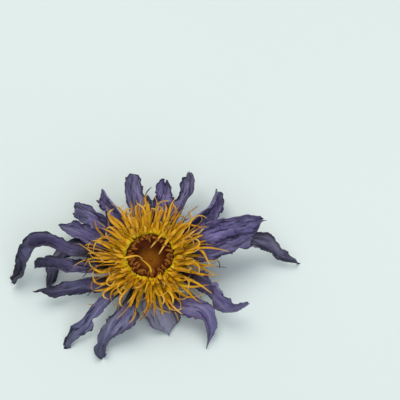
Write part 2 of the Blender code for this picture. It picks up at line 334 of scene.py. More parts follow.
@dataclass(frozen=True)
class TissueFinish(Finish):
    """Dry petal or sepal: a papery skin with veins along it, darker at its margins and in blotches, with
    painted shade in its valleys and under the stamens and a painted highlight on its ridges.

    Attributes:
        inner: colour of the face that was inside the bud.
        outer: colour of the face that was outside.
        pale: in bleached bands, and as a painted highlight where the skin is lifted in ridges.
        vein: along the veins and in the furrows.
        edge: in blotches, along the margin and the tip, and as painted shade in the valleys of creases.
        tip: towards the tip.
        tip_share: how much of the tip's colour shows at the very tip.
        roughness: of the skin.
        glow: share of light that passes through the sheet.
        root: painted shade of the stamens, a dark brown over the tissue near its root.
    """

    inner: str
    outer: str
    pale: str
    vein: str
    edge: str
    tip: str
    tip_share: float = 0.6
    roughness: float = 0.62
    glow: float = 0.12
    # Painted shade of the stamens over the tissue near its root.
    root: str = "#33200f"

    def surface(self, tree: bpy.types.NodeTree, place: bpy.types.NodeSocket,
                zones: bpy.types.bpy_prop_collection) -> bpy.types.NodeSocket:
        """Veins, blotches and a dark margin over the tissue's own two colours, with painted shade in valleys
        and near the root and a painted highlight on ridges.

        Args:
            tree: the material's node tree.
            place: the socket of tissue_place.
            zones: the three sockets of tissue_zone, named X, Y and Z.

        Returns:
            The shader's socket.
        """
        crease = add_node(tree, "ShaderNodeAttribute", attribute_name="tissue_crease").outputs["Fac"]
        # Real veins stand about 0.5 mm apart, so a noise cell is 0.45 mm across and 9 mm along.
        vein_at = add_node(tree, "ShaderNodeMapping", {"Vector": place, "Scale": (2.2, 0.11, 1.0)}).outputs[0]
        veins = add_node(tree, "ShaderNodeTexNoise",
                         {"Vector": vein_at, "Scale": 1.0, "Detail": 3.0, "Roughness": 0.6}).outputs["Fac"]
        # Bleached bands between folds, 1.8 mm wide and 10 mm long.
        band_at = add_node(tree, "ShaderNodeMapping",
                           {"Vector": place, "Scale": (0.55, 0.10, 1.0)}).outputs[0]
        bands = add_node(tree, "ShaderNodeTexNoise",
                         {"Vector": band_at, "Scale": 1.0, "Detail": 2.0}).outputs["Fac"]
        # Blotches where the skin dried unevenly, 2 to 4 mm wide.
        blotches = add_node(tree, "ShaderNodeTexNoise",
                            {"Vector": place, "Scale": 0.38, "Detail": 4.0, "Roughness": 0.65}).outputs["Fac"]
        # The skin's cells are far under 0.1 mm: drawn at 0.25 mm so that they show.
        grain = add_node(tree, "ShaderNodeTexNoise",
                         {"Vector": place, "Scale": 4.0, "Detail": 2.0, "Roughness": 0.7}).outputs["Fac"]
        burnt = add_node(tree, "ShaderNodeMath", {0: zones["Y"], 1: blotches},
                         operation="MULTIPLY").outputs[0]
        colour = layered(tree, blended(tree, zones["Z"], self.inner, self.outer), (
            (bands, 0.45, 0.72, 1.0, self.pale),
            (veins, 0.50, 0.70, 0.7, self.vein),
            # Painted highlight: the pale colour on ridges.
            (crease, 0.6, 0.95, 0.6, self.pale),
            # Painted shade: the edge colour in valleys.
            (crease, 0.44, 0.15, 0.9, self.edge),
            (blotches, 0.54, 0.72, 0.45, self.edge),
            (burnt, 0.40, 0.60, 0.75, self.edge),
            (zones["X"], 0.55, 1.0, self.tip_share, self.tip),
            (zones["Y"], 0.93, 0.985, 0.8, self.edge),
            # Painted shade: dark brown near the root, under the stamens.
            (zones["X"], 0.44, 0.24, 0.92, self.root),
        ))
        relief = add_node(tree, "ShaderNodeMath", {0: veins, 1: grain}, operation="ADD").outputs[0]
        look = {"Base Color": speckled(tree, colour, grain, 0.86, 1.12),
                "Roughness": stretched(tree, blotches, 0.35, 0.65,
                                       self.roughness + 0.1, self.roughness - 0.1),
                "Specular IOR Level": 0.4, "Sheen Weight": 0.12, "Sheen Roughness": 0.5}
        return self.lit(tree, look, (relief, 0.55, 0.28), self.glow)


class Tissue(Enum):
    """The dried tissues of petals and sepals.

    Papery violet petals look matt and finely streaked. They have bleached to blue grey where light
    reached them, and are a deeper violet where they were covered. Sepals are thicker and leathery:
    violet-black outside and lavender inside.
    """

    BLUE_GREY = TissueFinish("dried_petal_blue_grey", "#6d6a94", "#5d5a80", "#9092b2", "#4f476e",
                             "#2f2b48", "#4c5068", 0.8)
    VIOLET_GREY = TissueFinish("dried_petal_violet_grey", "#6f6698", "#5e5682", "#8f88b4", "#4d446e",
                               "#2e2746", "#62617e", 0.5)
    VIOLET = TissueFinish("dried_petal_violet", "#7a6ea8", "#675a90", "#9a90c4", "#554872",
                          "#2e2648", "#5b5878", 0.5)
    DEEP_VIOLET = TissueFinish("dried_petal_deep_violet", "#524a72", "#453d62", "#78719a", "#352d4e",
                               "#1f1a32", "#282a3a", 0.85)
    SEPAL = TissueFinish("dried_sepal_violet_black", "#5f5878", "#2c2c42", "#7c7694", "#453f5a",
                         "#26253a", "#35334a", 0.6, 0.58, 0.04)
    PALE_SEPAL = TissueFinish("dried_sepal_lavender", "#9a98b4", "#55566c", "#aeadc4", "#7b7892",
                              "#4a495e", "#9192aa", 0.6, 0.58, 0.2)


@dataclass(frozen=True)
class StrapFinish(Finish):
    """Dry stamen or horn: waxy and fibrous along it, with painted shade on its under side and margins.

    Attributes:
        foot: its colour at the foot.
        body: from its middle on.
        side: painted shade on its margins and its under side, and its own darker colour in patches and
            fibres.
        tip: towards the tip.
        burnt: at the tips of the few that have gone dark.
        roughness: of the skin.
        glow: share of light that passes through.
    """

    foot: str
    body: str
    side: str
    tip: str
    burnt: str
    roughness: float
    glow: float

    def surface(self, tree: bpy.types.NodeTree, place: bpy.types.NodeSocket,
                zones: bpy.types.bpy_prop_collection) -> bpy.types.NodeSocket:
        """Fibres and patches over colours that change from foot to tip, with painted shade on the under side
        and margins.

        Args:
            tree: the material's node tree.
            place: the socket of tissue_place.
            zones: the three sockets of tissue_zone, named X, Y and Z.

        Returns:
            The shader's socket.
        """
        upper = add_node(tree, "ShaderNodeAttribute", attribute_name="tissue_crease").outputs["Fac"]
        # Fibres run along the strap, about 0.15 mm apart, drawn at 0.2 mm.
        fibre_at = add_node(tree, "ShaderNodeMapping",
                            {"Vector": place, "Scale": (5.0, 0.35, 1.0)}).outputs[0]
        fibres = add_node(tree, "ShaderNodeTexNoise",
                          {"Vector": fibre_at, "Scale": 1.0, "Detail": 2.0, "Roughness": 0.6}).outputs["Fac"]
        # Patches of darker skin, about 3 mm long.
        patches = add_node(tree, "ShaderNodeTexNoise",
                           {"Vector": place, "Scale": 0.3, "Detail": 2.0}).outputs["Fac"]
        colour = layered(tree, self.foot, (
            (zones["X"], 0.1, 0.6, 1.0, self.body),
            (patches, 0.48, 0.7, 0.55, self.side),
            (fibres, 0.52, 0.72, 0.3, self.side),
            (zones["X"], 0.65, 1.0, 0.75, self.tip),
            # Painted shade: the side colour on the under side.
            (upper, 0.4, 0.1, 0.6, self.side),
            # Painted shade: the side colour along the margins.
            (zones["Y"], 0.7, 1.0, 0.7, self.side),
        ))
        burnt_tip = add_node(tree, "ShaderNodeMath",
                             {0: stretched(tree, zones["X"], 0.72, 0.9),
                              1: stretched(tree, zones["Z"], 0.86, 0.9)}, operation="MULTIPLY").outputs[0]
        look = {"Base Color": blended(tree, burnt_tip, colour, self.burnt),
                "Roughness": self.roughness, "Specular IOR Level": 0.45}
        return self.lit(tree, look, (fibres, 0.4, 0.06), self.glow)


# Waxy and a little see-through: a bright yellow foot, orange-brown painted shade on its under side and
# margins, and a straw tip.
STAMEN_SKIN = StrapFinish("dried_stamen_yellow", "#ffde14", "#ffc016", "#883c04", "#f4d276", "#2e2230",
                          0.45, 0.3)
# Duller and more closed: orange brown, like cork, with darker brown painted shade on its under side and
# margins.
CROWN_SKIN = StrapFinish("dried_crown_orange_brown", "#9a5010", "#cc821e", "#60280a", "#d89a34", "#5b3010",
                         0.55, 0.12)


@dataclass(frozen=True)
class FleshFinish(Finish):
    """Corky dry flesh, brown and matt, with painted shade in its furrows and a paler middle.

    Attributes:
        body: its main colour.
        furrow: in its blotches, and as painted shade in its grooves and holes.
        middle: where tissue_zone's X nears 1, the middle of the cup or the cut end.
        cell: width of its mottling in mm.
        roughness: of the surface.
    """

    body: str
    furrow: str
    middle: str
    cell: float
    roughness: float

    def surface(self, tree: bpy.types.NodeTree, place: bpy.types.NodeSocket,
                zones: bpy.types.bpy_prop_collection) -> bpy.types.NodeSocket:
        """Mottling, painted shade in the grooves and a paler middle.

        Args:
            tree: the material's node tree.
            place: the socket of tissue_place.
            zones: the three sockets of tissue_zone, named X, Y and Z.

        Returns:
            The shader's socket.
        """
        mottle = add_node(tree, "ShaderNodeTexNoise",
                          {"Vector": place, "Scale": 1.0 / self.cell, "Detail": 4.0,
                           "Roughness": 0.65}).outputs["Fac"]
        # The cork's cells are under 0.1 mm: drawn at 0.2 mm so that they show.
        grain = add_node(tree, "ShaderNodeTexNoise",
                         {"Vector": place, "Scale": 5.0, "Detail": 2.0, "Roughness": 0.7}).outputs["Fac"]
        colour = layered(tree, self.body, ((mottle, 0.42, 0.66, 0.8, self.furrow),))
        # Painted shade: the furrow colour in grooves and in the stalk's air channels.
        colour = blended(tree, zones["Y"], colour, self.furrow)
        colour = blended(tree, zones["X"], colour, self.middle)
        relief = add_node(tree, "ShaderNodeMath", {0: mottle, 1: grain}, operation="ADD").outputs[0]
        look = {"Base Color": speckled(tree, colour, grain, 0.8, 1.15),
                "Roughness": self.roughness, "Specular IOR Level": 0.12}
        return self.lit(tree, look, (relief, 0.5, 0.15), 0.0)


# Shrunken red-brown flesh, almost without shine, golden in the middle of the cup.
DISC_FLESH = FleshFinish("dried_disc_brown", "#63290a", "#3c1406", "#a06410", 1.6, 0.7)
# Spongy grey-brown pith, dull and fibrous.
STALK_FLESH = FleshFinish("dried_stalk_brown", "#75654a", "#43382a", "#8f8060", 1.0, 0.8)


# Meshes


@dataclass
class Skin:
    """Points, faces and tissue attributes of a mesh that is being made.

    Attributes:
        points: positions in mm, in the row frame.
        faces: corner numbers of each face.
        place: for each point, mm across, mm along and an offset that differs between pieces.
        zone: for each point, share along, nearness to the margin, and its face or tone.
        crease: for each point, from 0 in a valley or on a strap's under side to 1 on a ridge or a strap's
            upper side; the finishes paint shade where it is low and, on petals, a highlight where it is high.
    """

    points: np.ndarray
    faces: list[tuple[int, ...]]
    place: np.ndarray
    zone: np.ndarray
    crease: np.ndarray

    @staticmethod
    def joined(parts: list["Skin"]) -> "Skin":
        """One skin from several that stay separate shells."""
        faces: list[tuple[int, ...]] = []
        first = 0
        for part in parts:
            faces += [tuple(corner + first for corner in face) for face in part.faces]
            first += len(part.points)
        return Skin(np.concatenate([part.points for part in parts]), faces,
                    np.concatenate([part.place for part in parts]),
                    np.concatenate([part.zone for part in parts]),
                    np.concatenate([part.crease for part in parts]))

    def piece(self, name: str, material: bpy.types.Material, slot: str, nodes: list[str]) -> None:
        """Makes the object, rides it on the flower and lets it stand for its CAD nodes.

        Args:
            name: the piece's name.
            material: what it is made of.
            slot: the record's material slot; not used.
            nodes: the CAD nodes that it replaces.
        """
        points = self.points.copy()
        points[:, 2] = np.maximum(points[:, 2], FLOOR_GAP)
        mesh = bpy.data.meshes.new(name)
        mesh.from_pydata((points * MM).tolist(), [], self.faces)
        for label, values in (("tissue_place", self.place), ("tissue_zone", self.zone)):
            attribute = mesh.attributes.new(label, "FLOAT_VECTOR", "POINT")
            attribute.data.foreach_set("vector", values.astype(np.float32).ravel())
        attribute = mesh.attributes.new("tissue_crease", "FLOAT", "POINT")
        attribute.data.foreach_set("value", self.crease.astype(np.float32))
        shape = bmesh.new()
        shape.from_mesh(mesh)
        bmesh.ops.recalc_face_normals(shape, faces=shape.faces)
        shape.to_mesh(mesh)
        shape.free()
        mesh.shade_smooth()
        mesh.materials.append(material)
        made = bpy.data.objects.new(name, mesh)
        bpy.context.scene.collection.objects.link(made)
        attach(made, "root")
        if nodes:
            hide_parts(*nodes)
        LOG.info("%s: %d faces, for %s", name, len(mesh.polygons), ", ".join(nodes) or "no node")


def grid_faces(rows: int, columns: int, closed: bool = False) -> list[tuple[int, ...]]:
    """Quads between the points of a grid.

    Args:
        rows: number of rows of points.
        columns: points in each row.
        closed: whether the last column joins the first.

    Returns:
        The corner numbers of each quad.
    """
    faces = []
    for i in range(rows - 1):
        for j in range(columns if closed else columns - 1):
            k = (j + 1) % columns
            faces.append((i * columns + j, i * columns + k, (i + 1) * columns + k, (i + 1) * columns + j))
    return faces


def tube_faces(rows: int, columns: int) -> list[tuple[int, ...]]:
    """The faces of a tube whose rows are rings, with a cap at each end."""
    caps = [tuple(range(columns))[::-1], tuple(range((rows - 1) * columns, rows * columns))]
    return grid_faces(rows, columns, closed=True) + caps


# Petals and sepals


@dataclass(frozen=True)
class Fold:
    """A fold along a sheet.

    Attributes:
        across: where it runs, from -1 at one margin to 1 at the other.
        angle: how far the sheet turns at it; above 0 it is a valley, below 0 a ridge.
        start: share of the length where it begins.
        end: share of the length where it has faded.
        width: how much of the half width the bend takes.
    """

    across: float
    angle: float
    start: float = 0.0
    end: float = 1.2
    width: float = 0.12


@dataclass(frozen=True)
class Tear:
    """A notch torn out of a margin.

    Attributes:
        side: -1 or 1, the margin.
        at: share of the length where it is deepest.
        depth: share of the half width that it takes.
        width: share of the length that it takes.
    """

    side: float
    at: float
    depth: float
    width: float


@dataclass(frozen=True)
class Rails:
    """The middle surface of a CAD sheet, read at its rings: middle line, half width and lift."""

    middle: np.ndarray
    edge: np.ndarray
    lift: np.ndarray

    @staticmethod
    def of(node: str, head: Head) -> "Rails":
        """Reads the rails from a CAD sheet's mesh.

        Args:
            node: the CAD node's name.
            head: the flower's head, whose axis tells which end is the root.

        Returns:
            The rails, from root to tip, with the inner face on the upper side.
        """
        shape = bmesh.new()
        shape.from_mesh(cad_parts[node].data)
        bmesh.ops.remove_doubles(shape, verts=shape.verts, dist=WELD)
        shape.verts.ensure_lookup_table()
        points = np.array([vertex.co for vertex in shape.verts]) / MM
        flat = (points - head.base) @ head.turn
        ring = [int(k) for k in np.argsort(np.hypot(flat[:, 0], flat[:, 1]))[:RING_VERTICES]]
        rings = []
        seen = set(ring)
        while ring:
            rings.append(points[ring])
            near = {edge.other_vert(shape.verts[k]).index for k in ring for edge in shape.verts[k].link_edges}
            ring = sorted(near - seen)
            seen |= near
        shape.free()
        if len(rings) != SHEET_RINGS or any(len(r) != RING_VERTICES for r in rings):
            raise ValueError(f"{node} isn't a sheet of {SHEET_RINGS} rings: {[len(r) for r in rings]}")
        centres = np.array([r.mean(axis=0) for r in rings])
        heading = centres[1] - centres[0]
        across = np.cross((0.0, 0.0, 1.0), heading)
        rows = []
        for ring_points in rings:
            apart = ring_points[:, None] - ring_points[None]
            i, j = np.unravel_index(np.argmax((apart ** 2).sum(-1)), (RING_VERTICES, RING_VERTICES))
            line = ring_points[j] - ring_points[i]
            line = line if line @ across > 0 else -line
            ordered = ring_points[np.argsort(ring_points @ line)]
            rows.append(ordered.reshape(RING_VERTICES // 2, 2, 3).mean(axis=1))
            across = line
        rows = np.array(rows)
        middle = rows[:, 2]
        edge = (rows[:, -1] - rows[:, 0]) / 2
        lift = (rows[:, -1] + rows[:, 0]) / 2 - middle
        return Rails(middle, edge, lift)


@dataclass(frozen=True)
class Sheet:
    """One dried petal or sepal, laid along its CAD sheet.

    Attributes:
        node: the CAD node it stands for.
        tissue: its finish.
        seed: of its wrinkles.
        folds: the folds along it.
        rolls: degrees that the margins have curled over, on the minus and the plus side.
        furrow: slope of the fine lengthwise wrinkles, in degrees.
        crumple: mm that the sheet buckles near its tip.
        ragged: how uneven its margins are, as a share of the half width, on the two sides.
        taper: share of the length over which the tip narrows.
        point: how narrow the very tip is, as a share of its width before it.
        outside: how much of the outer skin shows on the upper and on the under side.
        thickness: of the dried tissue.
        pleat: slope of the flat facets between sharp lengthwise creases, in degrees.
        frill: mm that the margins wave up and down.
        tears: notches in the margins.
        widen: how much wider than the CAD sheet it is at the tip.
    """

    node: str
    tissue: Tissue
    seed: int
    folds: tuple[Fold, ...] = ()
    rolls: tuple[float, float] = (50.0, 50.0)
    furrow: float = 20.0
    crumple: float = 0.35
    ragged: tuple[float, float] = (0.05, 0.05)
    taper: float = 0.12
    point: float = 0.35
    outside: tuple[float, float] = (0.0, 1.0)
    thickness: float = 0.17
    pleat: float = 30.0
    frill: float = 0.6
    tears: tuple[Tear, ...] = ()
    widen: float = 1.0

    # Rows and columns of points.
    ALONG = 190
    ACROSS = 61
    # Sizes of the wrinkles in mm: across a sheet, and along it.
    FURROW_CELL = 0.5
    FURROW_RUN = 8.0
    PLEAT_CELL = 2.6
    PLEAT_RUN = 12.0
    BUCKLE_CELL = 2.4
    WANDER_RUN = 4.5
    SWAY_RUN = 6.5
    # The margins start to roll at this share of the half width, in waves of this length in mm.
    ROLL_FROM = 0.8
    ROLL_RUN = 4.0
    # The jags of the margins, their waves up and down, and the frayed end: each as cells in mm and weights.
    JAGS = ((3.2, 0.8), (1.2, 0.65), (0.5, 0.45))
    JAG_GAIN = 1.6
    FRILLS = ((1.9, 1.0), (0.8, 0.5))
    FRAYS = ((0.9, 1.0, 13.0), (0.35, 0.6, 3.0))
    FRAY_LENGTH = 1.1
    # How fast a bend turns into the painted highlight of a ridge or the painted shade of a valley.
    CREASE_GAIN = 2.2

    def slopes(self, share: np.ndarray, across: np.ndarray, half: np.ndarray, length: float) -> np.ndarray:
        """The sheet's slope across it at every point, in radians, without its CAD channel.

        Args:
            share: share of the length, as a column.
            across: place across from -1 to 1, as a row.
            half: half width at each station, as a column.
            length: of the sheet.

        Returns:
            A grid of slopes.
        """
        noise = Wrinkles(self.seed)
        drift = 0.12 * noise.at(share * 3.0, np.full_like(share, 7.5))
        slope = np.zeros((len(share), across.shape[1]))
        for fold in self.folds:
            line = fold.across + drift
            turned = 1.0 / (1.0 + np.exp(-(across - line) / (0.35 * fold.width)))
            middle = 1.0 / (1.0 + np.exp(line / (0.35 * fold.width)))
            shown = smooth_step(share, fold.start - 0.12, fold.start + 0.12)
            shown = shown * (1.0 - smooth_step(share, fold.end - 0.12, fold.end + 0.12))
            slope += math.radians(fold.angle) * shown * (turned - middle)
        cell = across * half / self.FURROW_CELL
        run = share * length / self.FURROW_RUN
        wrinkle = noise.at(cell + 20.0, run) + 0.5 * noise.at(cell * 2.1 + 40.0, run * 1.7)
        slope += math.radians(self.furrow) * wrinkle * (0.55 + 0.45 * share)
        wander = 0.9 * noise.at(share * length / self.WANDER_RUN, np.full_like(share, 44.5))
        facet = noise.at(across * half / self.PLEAT_CELL + wander + 9.0,
                         share * length / self.PLEAT_RUN + 3.0)
        slope += (math.radians(self.pleat) * np.tanh(5.0 * facet)
                  * (0.35 + 0.65 * smooth_step(share, 0.1, 0.5)))
        for side, roll in zip((-1.0, 1.0), self.rolls):
            wave = 0.7 + 0.75 * noise.at(share * length / self.ROLL_RUN, np.full_like(share, 3.5 + side))
            curled = smooth_step(side * across, self.ROLL_FROM - 0.12 * wave, 1.0)
            slope += side * math.radians(roll) * wave * curled * smooth_step(share, 0.02, 0.2)
        return slope

    def outline(self, noise: Wrinkles, share: np.ndarray, across: np.ndarray, length: float) -> np.ndarray:
        """How far the jagged and torn margins reach, as a factor of the width at every point.

        Args:
            noise: source of the jags.
            share: share of the length, as a column.
            across: place across from -1 to 1, as a row.
            length: of the sheet.

        Returns:
            A grid of factors.
        """
        reach = np.ones((len(share), across.shape[1]))
        for column, ragged in enumerate(self.ragged):
            row = 11.5 + 9 * column
            jag = np.zeros_like(share)
            for k, (cell, weight) in enumerate(self.JAGS):
                jag += weight * noise.at(share * length / cell, np.full_like(share, row + 3 * k))
            on_side = smooth_step(across if column else -across, 0.25, 1.0)
            reach += self.JAG_GAIN * ragged * jag * on_side * smooth_step(share, 0.05, 0.35)
        for tear in self.tears:
            away = np.abs(share - tear.at) / tear.width
            reach -= tear.depth * np.clip(1.0 - away, 0.0, 1.0) * smooth_step(tear.side * across, 0.1, 0.9)
        return reach

    def unrolled(self, slope: np.ndarray) -> tuple[np.ndarray, np.ndarray]:
        """Walks across the sheet from its middle, as its slope says.

        Args:
            slope: the grid of slopes, in radians.

        Returns:
            Grids of how far over and how far up, in half widths, spread to fill the CAD width.
        """
        step = 2.0 / (self.ACROSS - 1)
        middle = self.ACROSS // 2
        over = np.cumsum(np.cos(slope), axis=1) * step
        up = np.cumsum(np.sin(slope), axis=1) * step
        over -= over[:, middle:middle + 1]
        up -= up[:, middle:middle + 1]
        reach = over.max(axis=1, keepdims=True) - over.min(axis=1, keepdims=True)
        fill = np.clip(2.0 / reach, 1.0, 1.7)
        return over * fill, up * fill

    def buckles(self, noise: Wrinkles, over: np.ndarray, run: np.ndarray, share: np.ndarray,
                across: tuple[np.ndarray, np.ndarray]) -> tuple[np.ndarray, np.ndarray, np.ndarray]:
        """How the dried sheet has buckled, frilled and frayed.

        Args:
            noise: source of the buckles.
            over: mm across at every point.
            run: mm along, as a column.
            share: share of the length, as a column.
            across: mm across the sheet laid flat, as a grid, and place across from -1 to 1, as a row.

        Returns:
            Grids of mm up, mm over and mm along that are added.
        """
        flat, place = across
        grow = 0.22 + 0.78 * smooth_step(share, 0.35, 1.0) + 0.5 * smooth_step(share, 0.82, 1.0)
        cell = over / self.BUCKLE_CELL
        row = run / self.BUCKLE_CELL
        buckle = 0.7 * noise.at(cell, row * 0.8) + 0.45 * noise.creased(cell + 9.0, row * 0.7 + 5.0)
        buckle += 0.3 * noise.at(cell * 2.3 + 17.0, row * 1.9)
        buckle += 0.1 * noise.creased(cell * 2.7 + 3.0, row * 1.2 + 9.0)
        up = self.crumple * grow * buckle * smooth_step(share, 0.0, 0.12)
        for sign, start in zip((-1.0, 1.0), (54.5, 58.5)):
            frill = np.zeros_like(share)
            for k, (length, weight) in enumerate(self.FRILLS):
                frill += weight * noise.at(run / length, np.full_like(share, start + 2.0 * k))
            up = up + self.frill * frill * np.clip(sign * place, 0.0, 1.0) ** 3 * smooth_step(share, 0.1, 0.4)
        sway = noise.at(run / self.SWAY_RUN, np.full_like(share, 50.5)) * smooth_step(share, 0.05, 0.4)
        along = 0.5 * self.crumple * grow * noise.at(cell + 31.0, row * 0.6)
        fray = np.zeros_like(flat)
        for k, (width, weight, offset) in enumerate(self.FRAYS):
            fray += weight * noise.at(flat / width + offset, np.full_like(share, 27.5 + 10.0 * k))
        along = along + self.FRAY_LENGTH * fray * smooth_step(share, 0.92, 1.0)
        return up, 0.5 * self.crumple * sway, along

    def surface(self, head: Head) -> tuple[np.ndarray, np.ndarray, np.ndarray, np.ndarray]:
        """The sheet's middle surface.

        Args:
            head: the flower's head.

        Returns:
            Grids of points, of mm across and along, of unit normals of the upper side, and of how
            far each point is a ridge.
        """
        rails = Rails.of(self.node, head)
        noise = Wrinkles(self.seed + 500)
        stations = np.linspace(0.0, 1.0, self.ALONG)
        middle, edge, lift = (through_points(line, stations)
                              for line in (rails.middle, rails.edge, rails.lift))
        share = stations[:, None]
        across = np.linspace(-1.0, 1.0, self.ACROSS)[None]
        run = run_along(middle)[:, None]
        length = run[-1, 0]
        tangent = unit(np.gradient(middle, axis=0))
        side = unit(edge)
        facing = unit(np.cross(tangent, side))
        half = np.linalg.norm(edge, axis=1)[:, None]
        channel = (lift * facing).sum(axis=1)[:, None] / half
        narrowing = 1.0 - (1.0 - self.point) * smooth_step(share, 1.0 - self.taper, 1.0) ** 1.3
        rounding = np.sqrt(np.clip((1.0 - share) / 0.02, 0.0, 1.0) * 0.75 + 0.25)
        width = half * narrowing * rounding * (1.0 + (self.widen - 1.0) * smooth_step(share, 0.35, 0.8))
        over, up = self.unrolled(2.0 * channel * across + self.slopes(share, across, half, length))
        over = over * width * self.outline(noise, share, across, length)
        flat = across * half
        risen, swayed, along = self.buckles(noise, over, run, share, (flat, across))
        up = up * width + risen
        over = over + swayed
        points = (middle[:, None] + side[:, None] * over[..., None] + facing[:, None] * up[..., None]
                  + tangent[:, None] * along[..., None])
        normals = unit(np.cross(np.gradient(points, axis=0), np.gradient(points, axis=1)))
        place = np.stack([flat, np.broadcast_to(run, flat.shape)], axis=-1)
        bend = -np.gradient(np.arctan2(np.gradient(up, axis=1), np.gradient(over, axis=1)), axis=1)
        crease = np.clip(0.5 + self.CREASE_GAIN * bend, 0.0, 1.0)
        return points, place, normals, crease

    def skin(self, head: Head) -> Skin:
        """The closed sheet: both faces and the thin margin between them."""
        points, flat, normals, ridge = self.surface(head)
        rows, columns = points.shape[:2]
        margin = np.abs(np.linspace(-1.0, 1.0, columns))[None]
        share = np.linspace(0.0, 1.0, rows)[:, None]
        thick = self.thickness * (1.0 - 0.55 * margin ** 4) * (1.0 - 0.3 * share)
        edge = np.maximum(margin, smooth_step(share, 0.9, 1.0)) * np.ones_like(thick)
        shells = []
        places = []
        zones = []
        for sign, outside in zip((1.0, -1.0), self.outside):
            shells.append((points + normals * thick[..., None] * sign / 2).reshape(-1, 3))
            offset = np.full((rows, columns, 1), 3.0 * self.seed + 40.0 * sign)
            places.append(np.concatenate([flat, offset], axis=-1).reshape(-1, 3))
            zones.append(np.stack([share * np.ones_like(edge), edge, np.full_like(edge, outside)],
                                  axis=-1).reshape(-1, 3))
        count = rows * columns
        faces = grid_faces(rows, columns)
        faces += [tuple(corner + count for corner in reversed(face)) for face in grid_faces(rows, columns)]
        rim = [(0, j) for j in range(columns)] + [(i, columns - 1) for i in range(1, rows)]
        rim += [(rows - 1, j) for j in range(columns - 2, -1, -1)] + [(i, 0) for i in range(rows - 2, 0, -1)]
        loop = [i * columns + j for i, j in rim]
        faces += [(a, b, b + count, a + count) for a, b in zip(loop[1:] + loop[:1], loop)]
        crease = np.concatenate([ridge.ravel(), 1.0 - ridge.ravel()])
        return Skin(np.concatenate(shells), faces, np.concatenate(places), np.concatenate(zones), crease)

    def build(self, head: Head) -> None:
        """Makes the piece that stands for the CAD sheet."""
        slot = "dried_sepal" if self.node.startswith("sepal") else "dried_petal"
        self.skin(head).piece(f"{self.node}_tissue", self.tissue.value.material(), slot, [self.node])


